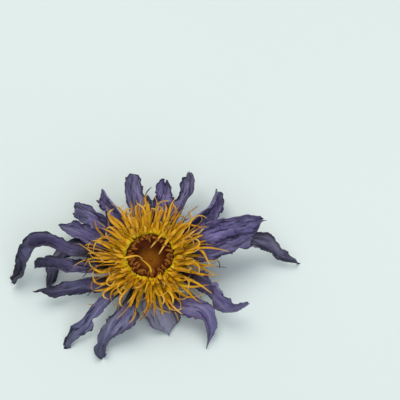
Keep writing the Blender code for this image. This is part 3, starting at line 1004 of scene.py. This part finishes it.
@dataclass(frozen=True)
class Perianth:
    """The petals and sepals round the head."""

    sheets: tuple[Sheet, ...] = (
        Sheet("petal_front_left", Tissue.BLUE_GREY, 11,
              (Fold(0.3, -95.0, 0.0, 0.95, 0.08), Fold(-0.55, 35.0, 0.5)),
              (20.0, 20.0), 14.0, 1.2, (0.08, 0.16), 0.06, 0.8, tears=(Tear(1.0, 0.62, 0.35, 0.05),)),
        Sheet("petal_front_broad", Tissue.BLUE_GREY, 12,
              (Fold(-0.12, -75.0, 0.15, 0.86, 0.05), Fold(0.5, 28.0, 0.4), Fold(0.0, 70.0, 0.86, 1.2, 0.5)),
              (5.0, 30.0), 10.0, 0.6, (0.08, 0.12), 0.02, 0.95, pleat=14.0, frill=0.5,
              tears=(Tear(-1.0, 0.87, 0.45, 0.06), Tear(1.0, 0.78, 0.5, 0.17), Tear(1.0, 0.96, 0.3, 0.025))),
        Sheet("petal_front_folded", Tissue.VIOLET_GREY, 13,
              (Fold(0.3, -110.0, 0.6, 1.2, 0.04), Fold(-0.1, 90.0, 0.62, 1.2, 0.04),
               Fold(-0.3, -25.0, 0.0, 0.55)),
              (20.0, 15.0), 12.0, 0.6, (0.07, 0.1), 0.2, 0.4, pleat=14.0),
        Sheet("petal_right_crooked", Tissue.VIOLET_GREY, 14, (Fold(-0.2, -50.0, 0.3, 0.7),),
              (25.0, 10.0), 12.0, 0.9, (0.08, 0.25), 0.1, 0.7,
              tears=(Tear(1.0, 0.52, 0.5, 0.05), Tear(1.0, 0.7, 0.3, 0.03), Tear(1.0, 0.86, 0.45, 0.05))),
        Sheet("petal_right_low", Tissue.VIOLET_GREY, 15, (Fold(-0.3, -35.0), Fold(0.4, 30.0)),
              (120.0, 30.0), 16.0, 0.9, (0.2, 0.1), tears=(Tear(-1.0, 0.8, 0.4, 0.06),)),
        Sheet("petal_right_high", Tissue.VIOLET, 16, (Fold(0.35, 45.0), Fold(-0.25, -30.0)),
              (60.0, 110.0), 14.0, 0.9, (0.14, 0.1), tears=(Tear(1.0, 0.93, 0.4, 0.05),)),
        Sheet("petal_back_right_low", Tissue.VIOLET, 17, (Fold(0.0, 50.0),),
              (80.0, 60.0), 20.0, 1.0, (0.12, 0.1)),
        Sheet("petal_back_right_high", Tissue.VIOLET_GREY, 18, (Fold(-0.1, 45.0), Fold(0.5, -30.0)),
              (70.0, 90.0), 18.0, 0.9, (0.1, 0.12)),
        Sheet("petal_back_low", Tissue.VIOLET, 19, (Fold(0.1, 55.0),), (60.0, 90.0), 22.0, 1.0, (0.12, 0.12)),
        Sheet("petal_back_high", Tissue.VIOLET_GREY, 20, (Fold(0.05, 45.0), Fold(-0.5, -30.0)),
              (80.0, 50.0), 18.0, 0.9, (0.12, 0.1)),
        Sheet("petal_back_left_low", Tissue.VIOLET, 21, (Fold(-0.1, 60.0),),
              (90.0, 50.0), 22.0, 1.0, (0.12, 0.12)),
        Sheet("petal_back_left_high", Tissue.VIOLET_GREY, 22, (Fold(0.1, -40.0), Fold(-0.4, 35.0)),
              (50.0, 90.0), 16.0, 0.9, (0.1, 0.12)),
        Sheet("petal_left_broad", Tissue.VIOLET_GREY, 23, (Fold(0.25, -40.0), Fold(-0.3, 30.0)),
              (70.0, 90.0), 14.0, 0.8, (0.1, 0.1)),
        Sheet("petal_left_arched", Tissue.DEEP_VIOLET, 24,
              (Fold(0.15, 40.0, 0.0, 0.55, 0.08), Fold(-0.5, -35.0), Fold(0.0, 95.0, 0.6, 1.2, 0.1)),
              (30.0, 30.0), 20.0, 1.0, (0.1, 0.1), 0.08, 0.6, (0.1, 1.0), widen=1.7),
        Sheet("petal_left_violet", Tissue.DEEP_VIOLET, 25, (Fold(-0.2, -35.0), Fold(0.4, 40.0, 0.4)),
              (50.0, 110.0), 16.0, 1.0, (0.08, 0.12), 0.1, 0.55, (0.0, 1.0),
              tears=(Tear(-1.0, 0.85, 0.35, 0.05),)),
        Sheet("petal_left_low", Tissue.DEEP_VIOLET, 26, (Fold(0.1, -60.0, 0.3), Fold(-0.5, 30.0)),
              (40.0, 80.0), 18.0, 0.9, (0.08, 0.16), 0.18, 0.3, (0.2, 1.0)),
        Sheet("sepal_front", Tissue.PALE_SEPAL, 31, (Fold(-0.3, 18.0), Fold(0.35, -20.0)),
              (20.0, 30.0), 8.0, 0.35, (0.04, 0.06), 0.2, 0.2, (0.0, 1.0), 0.26, 18.0, 0.2),
        Sheet("sepal_right", Tissue.SEPAL, 32, (Fold(0.0, -50.0), Fold(-0.5, 40.0, 0.4)),
              (60.0, 40.0), 20.0, 1.1, (0.16, 0.12), 0.16, 0.35, (0.5, 1.0), 0.26),
        Sheet("sepal_back", Tissue.SEPAL, 33, (Fold(0.0, 30.0),), (40.0, 40.0), 14.0, 0.5, (0.04, 0.04),
              0.2, 0.3, (0.0, 1.0), 0.26),
        Sheet("sepal_left", Tissue.SEPAL, 34, (Fold(0.1, -110.0, 0.1),),
              (60.0, 60.0), 12.0, 0.5, (0.05, 0.05), 0.1, 0.6, (1.0, 1.0), 0.26, widen=0.75),
    )

    def build(self, head: Head) -> None:
        """Makes every petal and sepal."""
        for sheet in self.sheets:
            sheet.build(head)


# Stamens


@dataclass(frozen=True)
class Strap:
    """One flat, tapering strap of tissue along a line of points.

    Attributes:
        line: points of its middle line in the row frame.
        flat: direction of its width at each point.
        width: at each point.
        thickness: at each point.
        tone: from 0 to 1, which sets how it has coloured.
    """

    line: np.ndarray
    flat: np.ndarray
    width: np.ndarray
    thickness: np.ndarray
    tone: float

    # Points round the section, how deep its groove is, and how far apart two tones' patterns lie.
    SECTION = 8
    GROOVE = 0.35
    TONE_OFFSET = 90.0

    def skin(self) -> Skin:
        """The closed strap, its upper side a little grooved."""
        tangent = unit(np.gradient(self.line, axis=0))
        flat = unit(self.flat - tangent * (self.flat * tangent).sum(-1, keepdims=True))
        facing = np.cross(tangent, flat)
        turn = np.linspace(0.0, 2 * np.pi, self.SECTION, endpoint=False)
        wide = np.cos(turn)[None] * self.width[:, None] / 2
        high = np.sin(turn)[None] * self.thickness[:, None] / 2
        high = high + self.GROOVE * self.thickness[:, None] * (np.cos(turn) ** 2)[None]
        points = self.line[:, None] + flat[:, None] * wide[..., None] + facing[:, None] * high[..., None]
        run = run_along(self.line)
        share = (run / run[-1])[:, None] * np.ones_like(wide)
        place = np.stack([wide, run[:, None] * np.ones_like(wide),
                          np.full_like(wide, self.tone * self.TONE_OFFSET)], axis=-1)
        # The margins get the finish's painted shade.
        margin = np.abs(np.cos(turn))[None] ** 3 * np.ones_like(wide)
        zone = np.stack([share, margin, np.full_like(wide, self.tone)], axis=-1)
        # From 0 on the under side to 1 on the upper side: the finish paints shade where it is low.
        upper = (0.5 + 0.5 * np.sin(turn))[None] * np.ones_like(wide)
        return Skin(points.reshape(-1, 3), tube_faces(len(self.line), self.SECTION), place.reshape(-1, 3),
                    zone.reshape(-1, 3), upper.ravel())


@dataclass(frozen=True)
class Route:
    """Where a stamen runs that has curled in a way of its own.

    Attributes:
        points: what it passes after its root, in mm from the stalk's foot.
        burnt: whether its tip has turned dark.
        slim: its width as a share of its whorl's.
    """

    points: tuple[tuple[float, float, float], ...]
    burnt: bool = False
    slim: float = 0.85


# Stamens that lean in over the cup.
CUP_ROUTES = (
    Route(((6.0, 6.5, 15.5), (4.0, 4.5, 15.0), (0.0, 0.5, 12.5)), False, 1.25),
    Route(((8.0, 5.5, 15.0), (6.0, 3.5, 14.5), (4.5, 1.0, 14.0), (2.5, -1.5, 12.0)), False, 1.15),
    Route(((-7.5, -4.0, 13.5), (-5.5, -3.5, 14.0), (-3.5, -3.0, 13.5), (-2.0, -3.5, 12.5)), False, 0.65),
    Route(((0.4, -7.6, 12.4), (0.0, -6.4, 12.9), (-1.6, -4.4, 12.6), (-3.0, -3.0, 12.0)), False, 0.55),
)
# Stamens behind the cup, whose tips have curled into loops.
LOOP_ROUTES = (
    Route(((-1.5, 8.5, 15.0), (-2.5, 11.0, 16.5), (-1.5, 13.0, 17.5), (0.0, 13.0, 17.0))),
    Route(((2.0, 9.5, 15.0), (2.5, 10.5, 16.0), (1.5, 11.5, 17.0), (0.0, 12.0, 17.0))),
    Route(((2.5, 8.0, 15.0), (3.0, 9.5, 16.5), (4.5, 10.5, 17.0), (6.5, 11.0, 16.5))),
    Route(((5.5, 8.0, 14.5), (7.5, 10.5, 16.0), (7.5, 12.0, 17.0), (6.5, 13.5, 17.5))),
    Route(((-8.0, 7.0, 14.0), (-9.5, 8.5, 14.5), (-11.5, 10.0, 14.5), (-13.0, 11.5, 14.5),
           (-12.0, 13.5, 14.5))),
    Route(((-7.0, 8.5, 14.5), (-8.0, 10.5, 15.5), (-7.5, 12.0, 16.0), (-6.5, 12.5, 16.0),
           (-5.0, 12.0, 15.5))),
)
# Long stamens that reach out over the petals, to the right, to the front and to the left.
RIGHT_ROUTES = (
    Route(((9.5, 8.0, 13.5), (12.0, 8.5, 13.0), (14.5, 8.5, 12.5), (17.5, 8.5, 12.0))),
    Route(((9.5, 4.0, 13.0), (12.0, 5.0, 12.5), (14.5, 6.0, 12.5), (16.0, 7.5, 13.0))),
    Route(((10.0, -1.0, 12.0), (12.0, 0.0, 12.0), (14.5, 2.0, 12.0), (17.5, 2.5, 11.5), (21.0, 2.0, 10.5)),
          True),
    Route(((12.5, 1.5, 12.0), (15.5, 0.0, 11.5), (17.0, -2.5, 10.5), (18.0, -4.0, 9.5))),
    Route(((12.0, -3.5, 11.0), (15.0, -3.5, 10.0), (18.5, -3.5, 9.0), (23.0, -3.5, 8.0)), True),
    Route(((9.0, -10.5, 9.5), (12.5, -10.5, 8.5), (15.5, -9.5, 7.5), (17.5, -9.0, 7.5), (21.5, -7.5, 8.0))),
)
FRONT_ROUTES = (
    Route(((5.0, -10.0, 10.0), (5.5, -11.5, 9.0), (6.5, -13.0, 7.5), (9.5, -14.0, 7.0), (12.0, -12.5, 7.0))),
    Route(((6.5, -9.0, 10.0), (8.0, -10.5, 8.5), (9.0, -11.5, 7.0), (11.0, -12.5, 6.0))),
    Route(((1.5, -11.5, 9.5), (1.0, -14.0, 7.0), (2.5, -15.5, 4.5), (6.0, -16.5, 3.5))),
    Route(((-1.0, -11.5, 9.5), (-2.0, -12.5, 8.5), (-3.5, -14.0, 7.0), (-4.5, -16.5, 4.0),
           (-4.0, -18.0, 2.5))),
    Route(((0.5, -13.5, 7.5), (0.0, -15.5, 5.0), (-1.0, -16.5, 4.0), (-3.0, -17.5, 3.5))),
    Route(((-7.5, -11.0, 9.5), (-8.5, -12.0, 8.0), (-8.5, -14.5, 6.0), (-7.0, -16.5, 4.0))),
)
LEFT_ROUTES = (
    Route(((-13.5, -2.5, 12.0), (-17.0, -0.5, 11.5), (-19.0, 1.0, 11.5), (-21.5, 2.5, 12.0))),
    Route(((-12.5, 3.5, 13.5), (-15.0, 3.5, 13.0), (-16.5, 2.0, 12.5), (-17.0, 0.0, 11.5))),
    Route(((-12.5, -7.0, 11.0), (-15.0, -6.5, 10.5), (-17.5, -4.5, 10.5), (-18.5, -2.0, 11.0))),
    Route(((-12.0, -6.5, 11.0), (-14.0, -6.5, 10.0), (-16.0, -7.5, 9.0), (-16.5, -9.5, 8.5))),
    Route(((-10.0, -9.5, 10.0), (-11.5, -11.0, 9.0), (-14.5, -11.5, 8.0), (-17.0, -11.5, 7.5),
           (-18.5, -13.0, 7.0)), True),
    Route(((-12.0, -4.0, 12.0), (-15.5, -5.0, 11.0), (-18.0, -6.0, 10.0), (-20.0, -8.0, 9.5)), True),
)


@dataclass(frozen=True)
class StamenWhorl:
    """One ring of stamens.

    Attributes:
        stem: the start of its CAD bunches' names.
        count: how many stamens it has.
        root_radius: of the ring of roots.
        root_level: of the roots above the head's base.
        rises: least and greatest elevation at the foot.
        falls: least and greatest elevation near the tip.
        lengths: shortest and longest.
        width: at the foot.
        seed: of its variation.
        strays: the stamens that run along routes of their own.
        stubs: how many short, broken or undeveloped stamens stand between them.
    """

    stem: str
    count: int
    root_radius: float
    root_level: float
    rises: tuple[float, float]
    falls: tuple[float, float]
    lengths: tuple[float, float]
    width: float
    seed: int
    strays: tuple[Route, ...] = ()
    stubs: int = 0

    # Points along a stamen, CAD bunches in a whorl, and thickness at the foot in mm.
    STEPS = 24
    STRAY_STEPS = 34
    BUNCHES = 8
    THICKNESS = 0.26
    # Spreads in degrees: of the lean sideways, the late hook and dip, and the twist at foot and tip.
    SWAY = 11.0
    HOOK = 75.0
    DIP = 40.0
    TWIST = (25.0, 80.0)
    STRAY_TWIST = (15.0, 60.0)
    # Waves in degrees, up and down and sideways.
    WAVE_UP = 10.0
    WAVE_SIDE = 8.0
    # The tone of a burnt tip, above which the skin turns dark.
    BURNT_TONE = 0.95

    def strap(self, head: Head, azimuth: float, rng: np.random.Generator) -> Strap:
        """Grows one stamen outwards from its root.

        Args:
            head: the flower's head.
            azimuth: where it is rooted.
            rng: source of its variation.

        Returns:
            The strap.
        """
        share = np.linspace(0.0, 1.0, self.STEPS)
        rise, fall = rng.uniform(*self.rises), rng.uniform(*self.falls)
        length = rng.uniform(*self.lengths)
        sway = rng.normal(0.0, self.SWAY)
        hook = rng.normal(0.0, self.HOOK)
        dip = rng.normal(0.0, self.DIP)
        late = smooth_step(share, rng.uniform(0.5, 0.8), 1.0)
        elevation = np.radians(rise + (fall - rise) * share ** rng.uniform(0.8, 1.5) + dip * late
                               + self.WAVE_UP * np.sin(share * rng.uniform(4.0, 9.0) + rng.uniform(0.0, 6.0)))
        heading = np.radians(azimuth + sway * share + hook * late
                             + self.WAVE_SIDE * np.sin(share * rng.uniform(5.0, 9.0) + rng.uniform(0.0, 6.0)))
        ahead = aimed(elevation, heading)
        start = around(self.root_radius + rng.uniform(-0.25, 0.25), np.radians(azimuth),
                       self.root_level + rng.uniform(-0.3, 0.3))
        line = walked(start, ahead, length / (self.STEPS - 1))
        flat = twisted(sideways(heading), ahead, self.twist(share, self.TWIST, rng))
        base = self.width * rng.uniform(0.82, 1.2)
        width, thickness = self.sizes(share, base)
        return Strap(head.to_row(line), flat @ head.turn.T, width, thickness, rng.uniform(0.0, 1.0))

    @staticmethod
    def twist(share: np.ndarray, spreads: tuple[float, float], rng: np.random.Generator) -> np.ndarray:
        """A stamen's twist along it in radians, from its spreads in degrees."""
        foot, tip = (rng.normal(0.0, spread) for spread in spreads)
        return np.radians(foot + tip * share)

    def sizes(self, share: np.ndarray, base: float) -> tuple[np.ndarray, np.ndarray]:
        """Width and thickness along a stamen that is base wide at its foot."""
        width = base * (1.0 - 0.22 * share - 0.45 * smooth_step(share, 0.45, 0.95))
        width = width * (1.0 - 0.75 * smooth_step(share, 0.93, 1.0))
        thickness = self.THICKNESS * (1.0 - 0.45 * share) * (1.0 - 0.6 * smooth_step(share, 0.93, 1.0))
        return width, thickness

    def stray(self, head: Head, route: Route, rng: np.random.Generator) -> tuple[float, Strap]:
        """Lays one stamen along a route of its own.

        Args:
            head: the flower's head.
            route: where it runs.
            rng: source of its variation.

        Returns:
            The azimuth of its root, and the strap.
        """
        laid = head.from_foot(route.points)
        first = (laid[0] - head.base) @ head.turn
        azimuth = math.degrees(math.atan2(first[1], first[0])) % 360.0
        root = head.to_row(around(self.root_radius, np.radians(azimuth), self.root_level)[None])
        share = np.linspace(0.0, 1.0, self.STRAY_STEPS)
        line = through_points(np.concatenate([root, laid]), share)
        tangent = unit(np.gradient(line, axis=0))
        level = unit(np.cross(np.array([0.0, 0.0, 1.0]), tangent) + 1e-6)
        flat = twisted(level, tangent, self.twist(share, self.STRAY_TWIST, rng))
        width, thickness = self.sizes(share, self.width * route.slim)
        tone = self.BURNT_TONE if route.burnt else rng.uniform(0.0, 0.8)
        return azimuth, Strap(line, flat, width, thickness, tone)

    def build(self, head: Head) -> None:
        """Makes the whorl's stamens, one piece for each CAD bunch."""
        rng = np.random.default_rng(self.seed)
        grown: list[tuple[float, Strap]] = []
        for kind, count, spread in ((self, self.count, 0.35), (STUBS, self.stubs, 0.4)):
            for k in range(count):
                azimuth = (360.0 * (k + rng.uniform(-spread, spread)) / count) % 360.0
                grown.append((azimuth, kind.strap(head, azimuth, rng)))
        grown += [self.stray(head, route, rng) for route in self.strays]
        bunches: list[list[Skin]] = [[] for _ in range(self.BUNCHES)]
        for azimuth, strap in grown:
            bunches[int(azimuth // (360.0 / self.BUNCHES))].append(strap.skin())
        for index, straps in enumerate(bunches, start=1):
            node = f"{self.stem}_{index}"
            Skin.joined(straps).piece(f"{node}_straps", STAMEN_SKIN.material(), "dried_stamen", [node])


# The short, broad stamens next to the crown, which arch outwards and take the light.
STUBS = StamenWhorl("stubs", 0, 7.15, 9.4, (20.0, 75.0), (-60.0, 20.0), (2.0, 4.6), 1.55, 0)


@dataclass(frozen=True)
class Androecium:
    """All the stamens, in three whorls."""

    whorls: tuple[StamenWhorl, ...] = (
        StamenWhorl("stamens_inner", 56, 7.45, 8.1, (52.0, 80.0), (5.0, 55.0), (5.0, 9.0), 1.15, 101,
                    CUP_ROUTES + LOOP_ROUTES[:4], 62),
        StamenWhorl("stamens_middle", 76, 7.2, 7.0, (38.0, 62.0), (-30.0, 25.0), (9.0, 14.5), 1.1, 102,
                    LOOP_ROUTES[4:] + RIGHT_ROUTES[:4] + LEFT_ROUTES[:2]),
        StamenWhorl("stamens_outer", 72, 7.35, 5.6, (18.0, 46.0), (-70.0, 0.0), (12.0, 17.5), 1.0, 103,
                    RIGHT_ROUTES[4:] + FRONT_ROUTES + LEFT_ROUTES[2:]),
    )

    def build(self, head: Head) -> None:
        """Makes every whorl."""
        for whorl in self.whorls:
            whorl.build(head)


# Pistil and stalk


@dataclass(frozen=True)
class Pistil:
    """The ovary, the cupped disc on it with its rays, and the crown of horns round the rim."""

    rays: int = 26
    rim_radius: float = 6.7
    cup_radius: float = 5.7
    rim_level: float = 9.5
    floor_level: float = 6.2
    ray_height: float = 0.09
    knob_radius: float = 0.7
    knob_height: float = 0.55
    horn_length: float = 2.3
    horn_width: float = 1.1
    seed: int = 61

    AROUND = 260
    CUP_STEPS = 22
    LUMP_CELL = 1.1
    LUMP_HEIGHT = 0.12
    # The horns stand in two rows, this far inside the rim, with their feet sunk in it.
    HORN_STEPS = 14
    OUTER_ROW = 0.1
    INNER_ROW = 0.75
    HORN_SINK = 0.35
    HORN_THICKNESS = 0.7

    def profile(self) -> list[tuple[float, float, float]]:
        """Radius, level and share of ray relief, from under the ovary over the rim to the knob."""
        rim, cup, top, low = self.rim_radius, self.cup_radius, self.rim_level, self.floor_level
        outside = [(2.6, 0.25, 0.0), (3.6, 0.5, 0.0), (4.7, 1.3, 0.0), (5.5, 2.6, 0.0), (5.85, 4.2, 0.0),
                   (5.9, 6.0, 0.0), (6.1, 7.4, 0.1), (rim - 0.15, 8.6, 0.3), (rim, top - 0.2, 0.6),
                   (rim - 0.15, top + 0.1, 1.0), (rim - 0.5, top + 0.15, 1.0)]
        inside = []
        for share in np.linspace(0.0, 1.0, self.CUP_STEPS):
            radius = cup * (1.0 - share) + self.knob_radius * share
            bowl = (radius / cup) ** 2.6
            relief = 0.35 + 0.65 * (1.0 - abs(2 * share - 0.9))
            inside.append((radius, low + (top - 0.35 - low) * bowl, relief))
        knob = [(self.knob_radius * math.cos(turn), low + self.knob_height * math.sin(turn), 0.1)
                for turn in np.radians([25, 45, 65, 82])]
        return outside + inside + knob

    def body(self, head: Head) -> Skin:
        """The closed body of ovary and disc."""
        noise = Wrinkles(self.seed)
        profile = self.profile()
        turn = np.linspace(0.0, 2 * np.pi, self.AROUND, endpoint=False)
        rows = []
        zones = []
        for radius, level, relief in profile:
            ridge = np.cos(self.rays * turn + 0.6 * noise.at(turn * 2.0, np.full_like(turn, 2.5)))
            lumps = noise.at(radius * np.cos(turn) / self.LUMP_CELL + 30,
                             radius * np.sin(turn) / self.LUMP_CELL + 30 + level)
            height = level + self.ray_height * relief * ridge
            height = height + self.LUMP_HEIGHT * lumps * min(1.0, radius / 2.0)
            rows.append(around(radius * (1.0 + 0.012 * lumps), turn, height))
            in_cup = self.floor_level - 0.2 < level < self.rim_level and radius < self.cup_radius + 0.01
            middle = (1.0 - smooth_step(np.array(radius), 0.8, 4.8)) * 0.9 if in_cup else 0.0
            # Painted shade in the grooves between the rays, and on their ridges a little more of the paler
            # middle, a painted highlight.
            groove = 0.3 * relief * (0.5 - 0.5 * ridge)
            zones.append(np.stack([middle * (0.9 + 0.1 * ridge), groove, np.zeros_like(turn)], axis=-1))
        points = np.concatenate(rows)
        return Skin(head.to_row(points), tube_faces(len(rows), self.AROUND), points, np.concatenate(zones),
                    np.full(len(points), 0.5))

    def horns(self, head: Head) -> Skin:
        """The crown: short flat horns that rise from the rim and curl in over the cup."""
        rng = np.random.default_rng(self.seed)
        share = np.linspace(0.0, 1.0, self.HORN_STEPS)
        made = []
        for k in range(2 * self.rays):
            azimuth = 360.0 * (0.5 * k + rng.uniform(-0.3, 0.3)) / self.rays
            curl = np.radians(rng.uniform(55.0, 95.0) + rng.uniform(60.0, 150.0) * share)
            lean = np.radians(azimuth + rng.normal(0.0, 25.0) * share)
            step = self.horn_length * rng.uniform(0.6, 1.3) / (self.HORN_STEPS - 1)
            row_inset = self.INNER_ROW if k % 2 else self.OUTER_ROW
            start = around(self.rim_radius - row_inset + rng.uniform(-0.2, 0.2), np.radians(azimuth),
                           self.rim_level - self.HORN_SINK)
            line = walked(start, aimed(curl, lean), step)
            width = self.horn_width * rng.uniform(0.8, 1.2) * (1.0 - 0.35 * share - 0.45 * share ** 4)
            thickness = self.HORN_THICKNESS * (1.0 - 0.4 * share)
            made.append(Strap(head.to_row(line), sideways(lean) @ head.turn.T, width, thickness,
                              rng.uniform(0.0, 0.8)).skin())
        return Skin.joined(made)

    def build(self, head: Head) -> None:
        """Makes the body and the crown."""
        self.body(head).piece("pistil_cup", DISC_FLESH.material(), "dried_pistil", ["pistil"])
        self.horns(head).piece("pistil_crown", CROWN_SKIN.material(), "dried_pistil", [])


@dataclass(frozen=True)
class Stalk:
    """The stub of the stalk: shrunken, ribbed and cut across."""

    radius: float = 2.7
    flare: float = 3.7
    ribs: int = 9
    rib_depth: float = 0.09
    seed: int = 71

    AROUND = 120
    # Radius and level of the hollowed cut end's rings, and how deep the air channels go into it.
    CUT = ((0.3, 0.35), (0.9, 0.3), (1.5, 0.32), (2.1, 0.2), (2.45, 0.05))
    HOLE_DEPTH = 0.7
    # Where it meets the ovary, above the head's base.
    TOP_LEVEL = 0.35

    def build(self, head: Head) -> None:
        """Makes the stub, with a hollowed cut end and its ring of air channels."""
        noise = Wrinkles(self.seed)
        turn = np.linspace(0.0, 2 * np.pi, self.AROUND, endpoint=False)
        rows = []
        zones = []
        for radius, level in self.CUT:
            holes = 0.5 + 0.5 * np.cos(4 * turn)
            depth = self.HOLE_DEPTH * holes * float(smooth_step(np.array(radius), 0.5, 1.2)
                                                    * (1 - smooth_step(np.array(radius), 1.6, 2.3)))
            rows.append(head.from_foot(around(radius, turn, level + depth)))
            # Painted shade in the air channels of the cut end.
            zones.append(np.stack([0.7 * np.ones_like(turn), holes * 0.6, np.zeros_like(turn)], axis=-1))
        for share in np.linspace(0.0, 1.0, 14):
            radius = self.radius * (1.0 - 0.06 * math.sin(math.pi * share))
            radius += (self.flare - self.radius) * float(smooth_step(np.array(share), 0.45, 1.0))
            rib = self.rib_depth * np.cos(self.ribs * turn
                                          + 0.5 * noise.at(turn * 2, np.full_like(turn, 1.5)))
            shrunk = 0.06 * noise.at(turn * 5.0, np.full_like(turn, share * 3.0 + 8.0))
            reach = radius * (1.0 + rib + shrunk)
            ring = around(reach, turn, self.TOP_LEVEL)
            foot = head.from_foot(ring * [1.0, 1.0, 0.0])
            rows.append(foot * (1.0 - share) + head.to_row(ring) * share)
            # Painted shade in the grooves between the ribs.
            zones.append(np.stack([np.zeros_like(turn), np.clip(-rib / self.rib_depth, 0, 1) * 0.7,
                                   np.zeros_like(turn)], axis=-1))
        points = np.concatenate(rows)
        skin = Skin(points, tube_faces(len(rows), self.AROUND), points * [1.0, 1.0, 0.3],
                    np.concatenate(zones), np.full(len(points), 0.5))
        skin.piece("stalk_stub", STALK_FLESH.material(), "dried_stalk", ["stalk"])


# Studio


@dataclass(frozen=True)
class Studio:
    """The pale floor, the soft light and the camera.

    Attributes:
        camera_elevation: of the camera above the horizon, seen from its aim.
        camera_distance: from the camera to its aim, in metres.
        lens: focal length for a sensor 36 mm wide.
        aim: where the camera looks on the floor, in mm from the stalk's foot.
    """

    camera_elevation: float = 53.0
    camera_distance: float = 0.38
    lens: float = 106.875
    aim: tuple[float, float, float] = (14.82, 27.88, 0.0)
    floor_half: float = 3.0
    floor_colour: str = "#e4efee"
    sky_colour: str = "#eef4f6"
    sky_strength: float = 0.47
    key_power: float = 19.5
    key_size: float = 1.7
    fill_power: float = 16.0

    def floor(self) -> None:
        """A large pale sheet of card, very faintly uneven."""
        mesh = bpy.data.meshes.new("studio_floor")
        half = self.floor_half
        corners = [(-half, -half, 0), (half, -half, 0), (half, half, 0), (-half, half, 0)]
        mesh.from_pydata(corners, [], [(0, 1, 2, 3)])
        made = bpy.data.objects.new("studio_floor", mesh)
        bpy.context.scene.collection.objects.link(made)
        material = bpy.data.materials.new("matt_white_card")
        material.use_nodes = True
        tree = material.node_tree
        shader = tree.nodes["Principled BSDF"]
        where = add_node(tree, "ShaderNodeTexCoord").outputs["Object"]
        tooth, cloud = (add_node(tree, "ShaderNodeTexNoise",
                                 {"Vector": where, "Scale": scale, "Detail": detail}).outputs["Fac"]
                        for scale, detail in ((900.0, 2.0), (6.0, 1.0)))
        colour = blended(tree, stretched(tree, cloud, 0.3, 0.7, 0.0, 0.35), self.floor_colour, "#dbe9e6")
        bump = add_node(tree, "ShaderNodeBump",
                        {"Strength": 0.04, "Distance": 0.05 * MM, "Height": tooth}).outputs["Normal"]
        tree.links.new(colour, shader.inputs["Base Color"])
        tree.links.new(bump, shader.inputs["Normal"])
        shader.inputs["Roughness"].default_value = 0.85
        shader.inputs["Specular IOR Level"].default_value = 0.2
        mesh.materials.append(material)

    def area_light(self, name: str, place: tuple[float, float, float], power: float, size: float,
                   colour: str) -> None:
        """A square soft light aimed at the flower."""
        light = bpy.data.lights.new(name, "AREA")
        light.shape = "SQUARE"
        light.size = size
        light.energy = power
        light.color = linear_colour(colour)[:3]
        made = bpy.data.objects.new(name, light)
        made.location = place
        made.rotation_mode = "QUATERNION"
        made.rotation_quaternion = (-Vector(place)).to_track_quat("-Z", "Y")
        bpy.context.scene.collection.objects.link(made)

    def lights(self) -> None:
        """A broad light from behind and above, a weak one from the front, and a pale sky."""
        self.area_light("soft_key", (-0.32, 0.62, 1.7), self.key_power, self.key_size, "#fffaf2")
        self.area_light("soft_fill", (0.5, -1.5, 0.8), self.fill_power, 1.6, "#f2f7ff")
        world = bpy.data.worlds.new("pale_sky")
        world.use_nodes = True
        shade = world.node_tree.nodes["Background"]
        shade.inputs["Color"].default_value = linear_colour(self.sky_colour)
        shade.inputs["Strength"].default_value = self.sky_strength
        bpy.context.scene.world = world

    def camera(self, head: Head) -> None:
        """The camera, looking down at the flower from the front."""
        data = bpy.data.cameras.new("view")
        data.sensor_width = 36.0
        data.lens = self.lens
        made = bpy.data.objects.new("view", data)
        tilt = math.radians(self.camera_elevation)
        back = Vector((0.0, -math.cos(tilt), math.sin(tilt)))
        made.location = Vector(head.from_foot(self.aim) * MM) + back * self.camera_distance
        made.rotation_mode = "QUATERNION"
        made.rotation_quaternion = (-back).to_track_quat("-Z", "Y")
        bpy.context.scene.collection.objects.link(made)
        bpy.context.scene.camera = made

    def build(self, head: Head) -> None:
        """Sets up the studio, with colours shown as they are."""
        self.floor()
        self.lights()
        self.camera(head)
        bpy.context.scene.view_settings.view_transform = "Standard"


def main() -> None:
    """Builds the flower and the studio."""
    logging.basicConfig(level=logging.INFO, format="%(message)s")
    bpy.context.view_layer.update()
    head = Head()
    Stalk().build(head)
    Pistil().build(head)
    Perianth().build(head)
    Androecium().build(head)
    Studio().build(head)


if __name__ == "__main__":
    main()
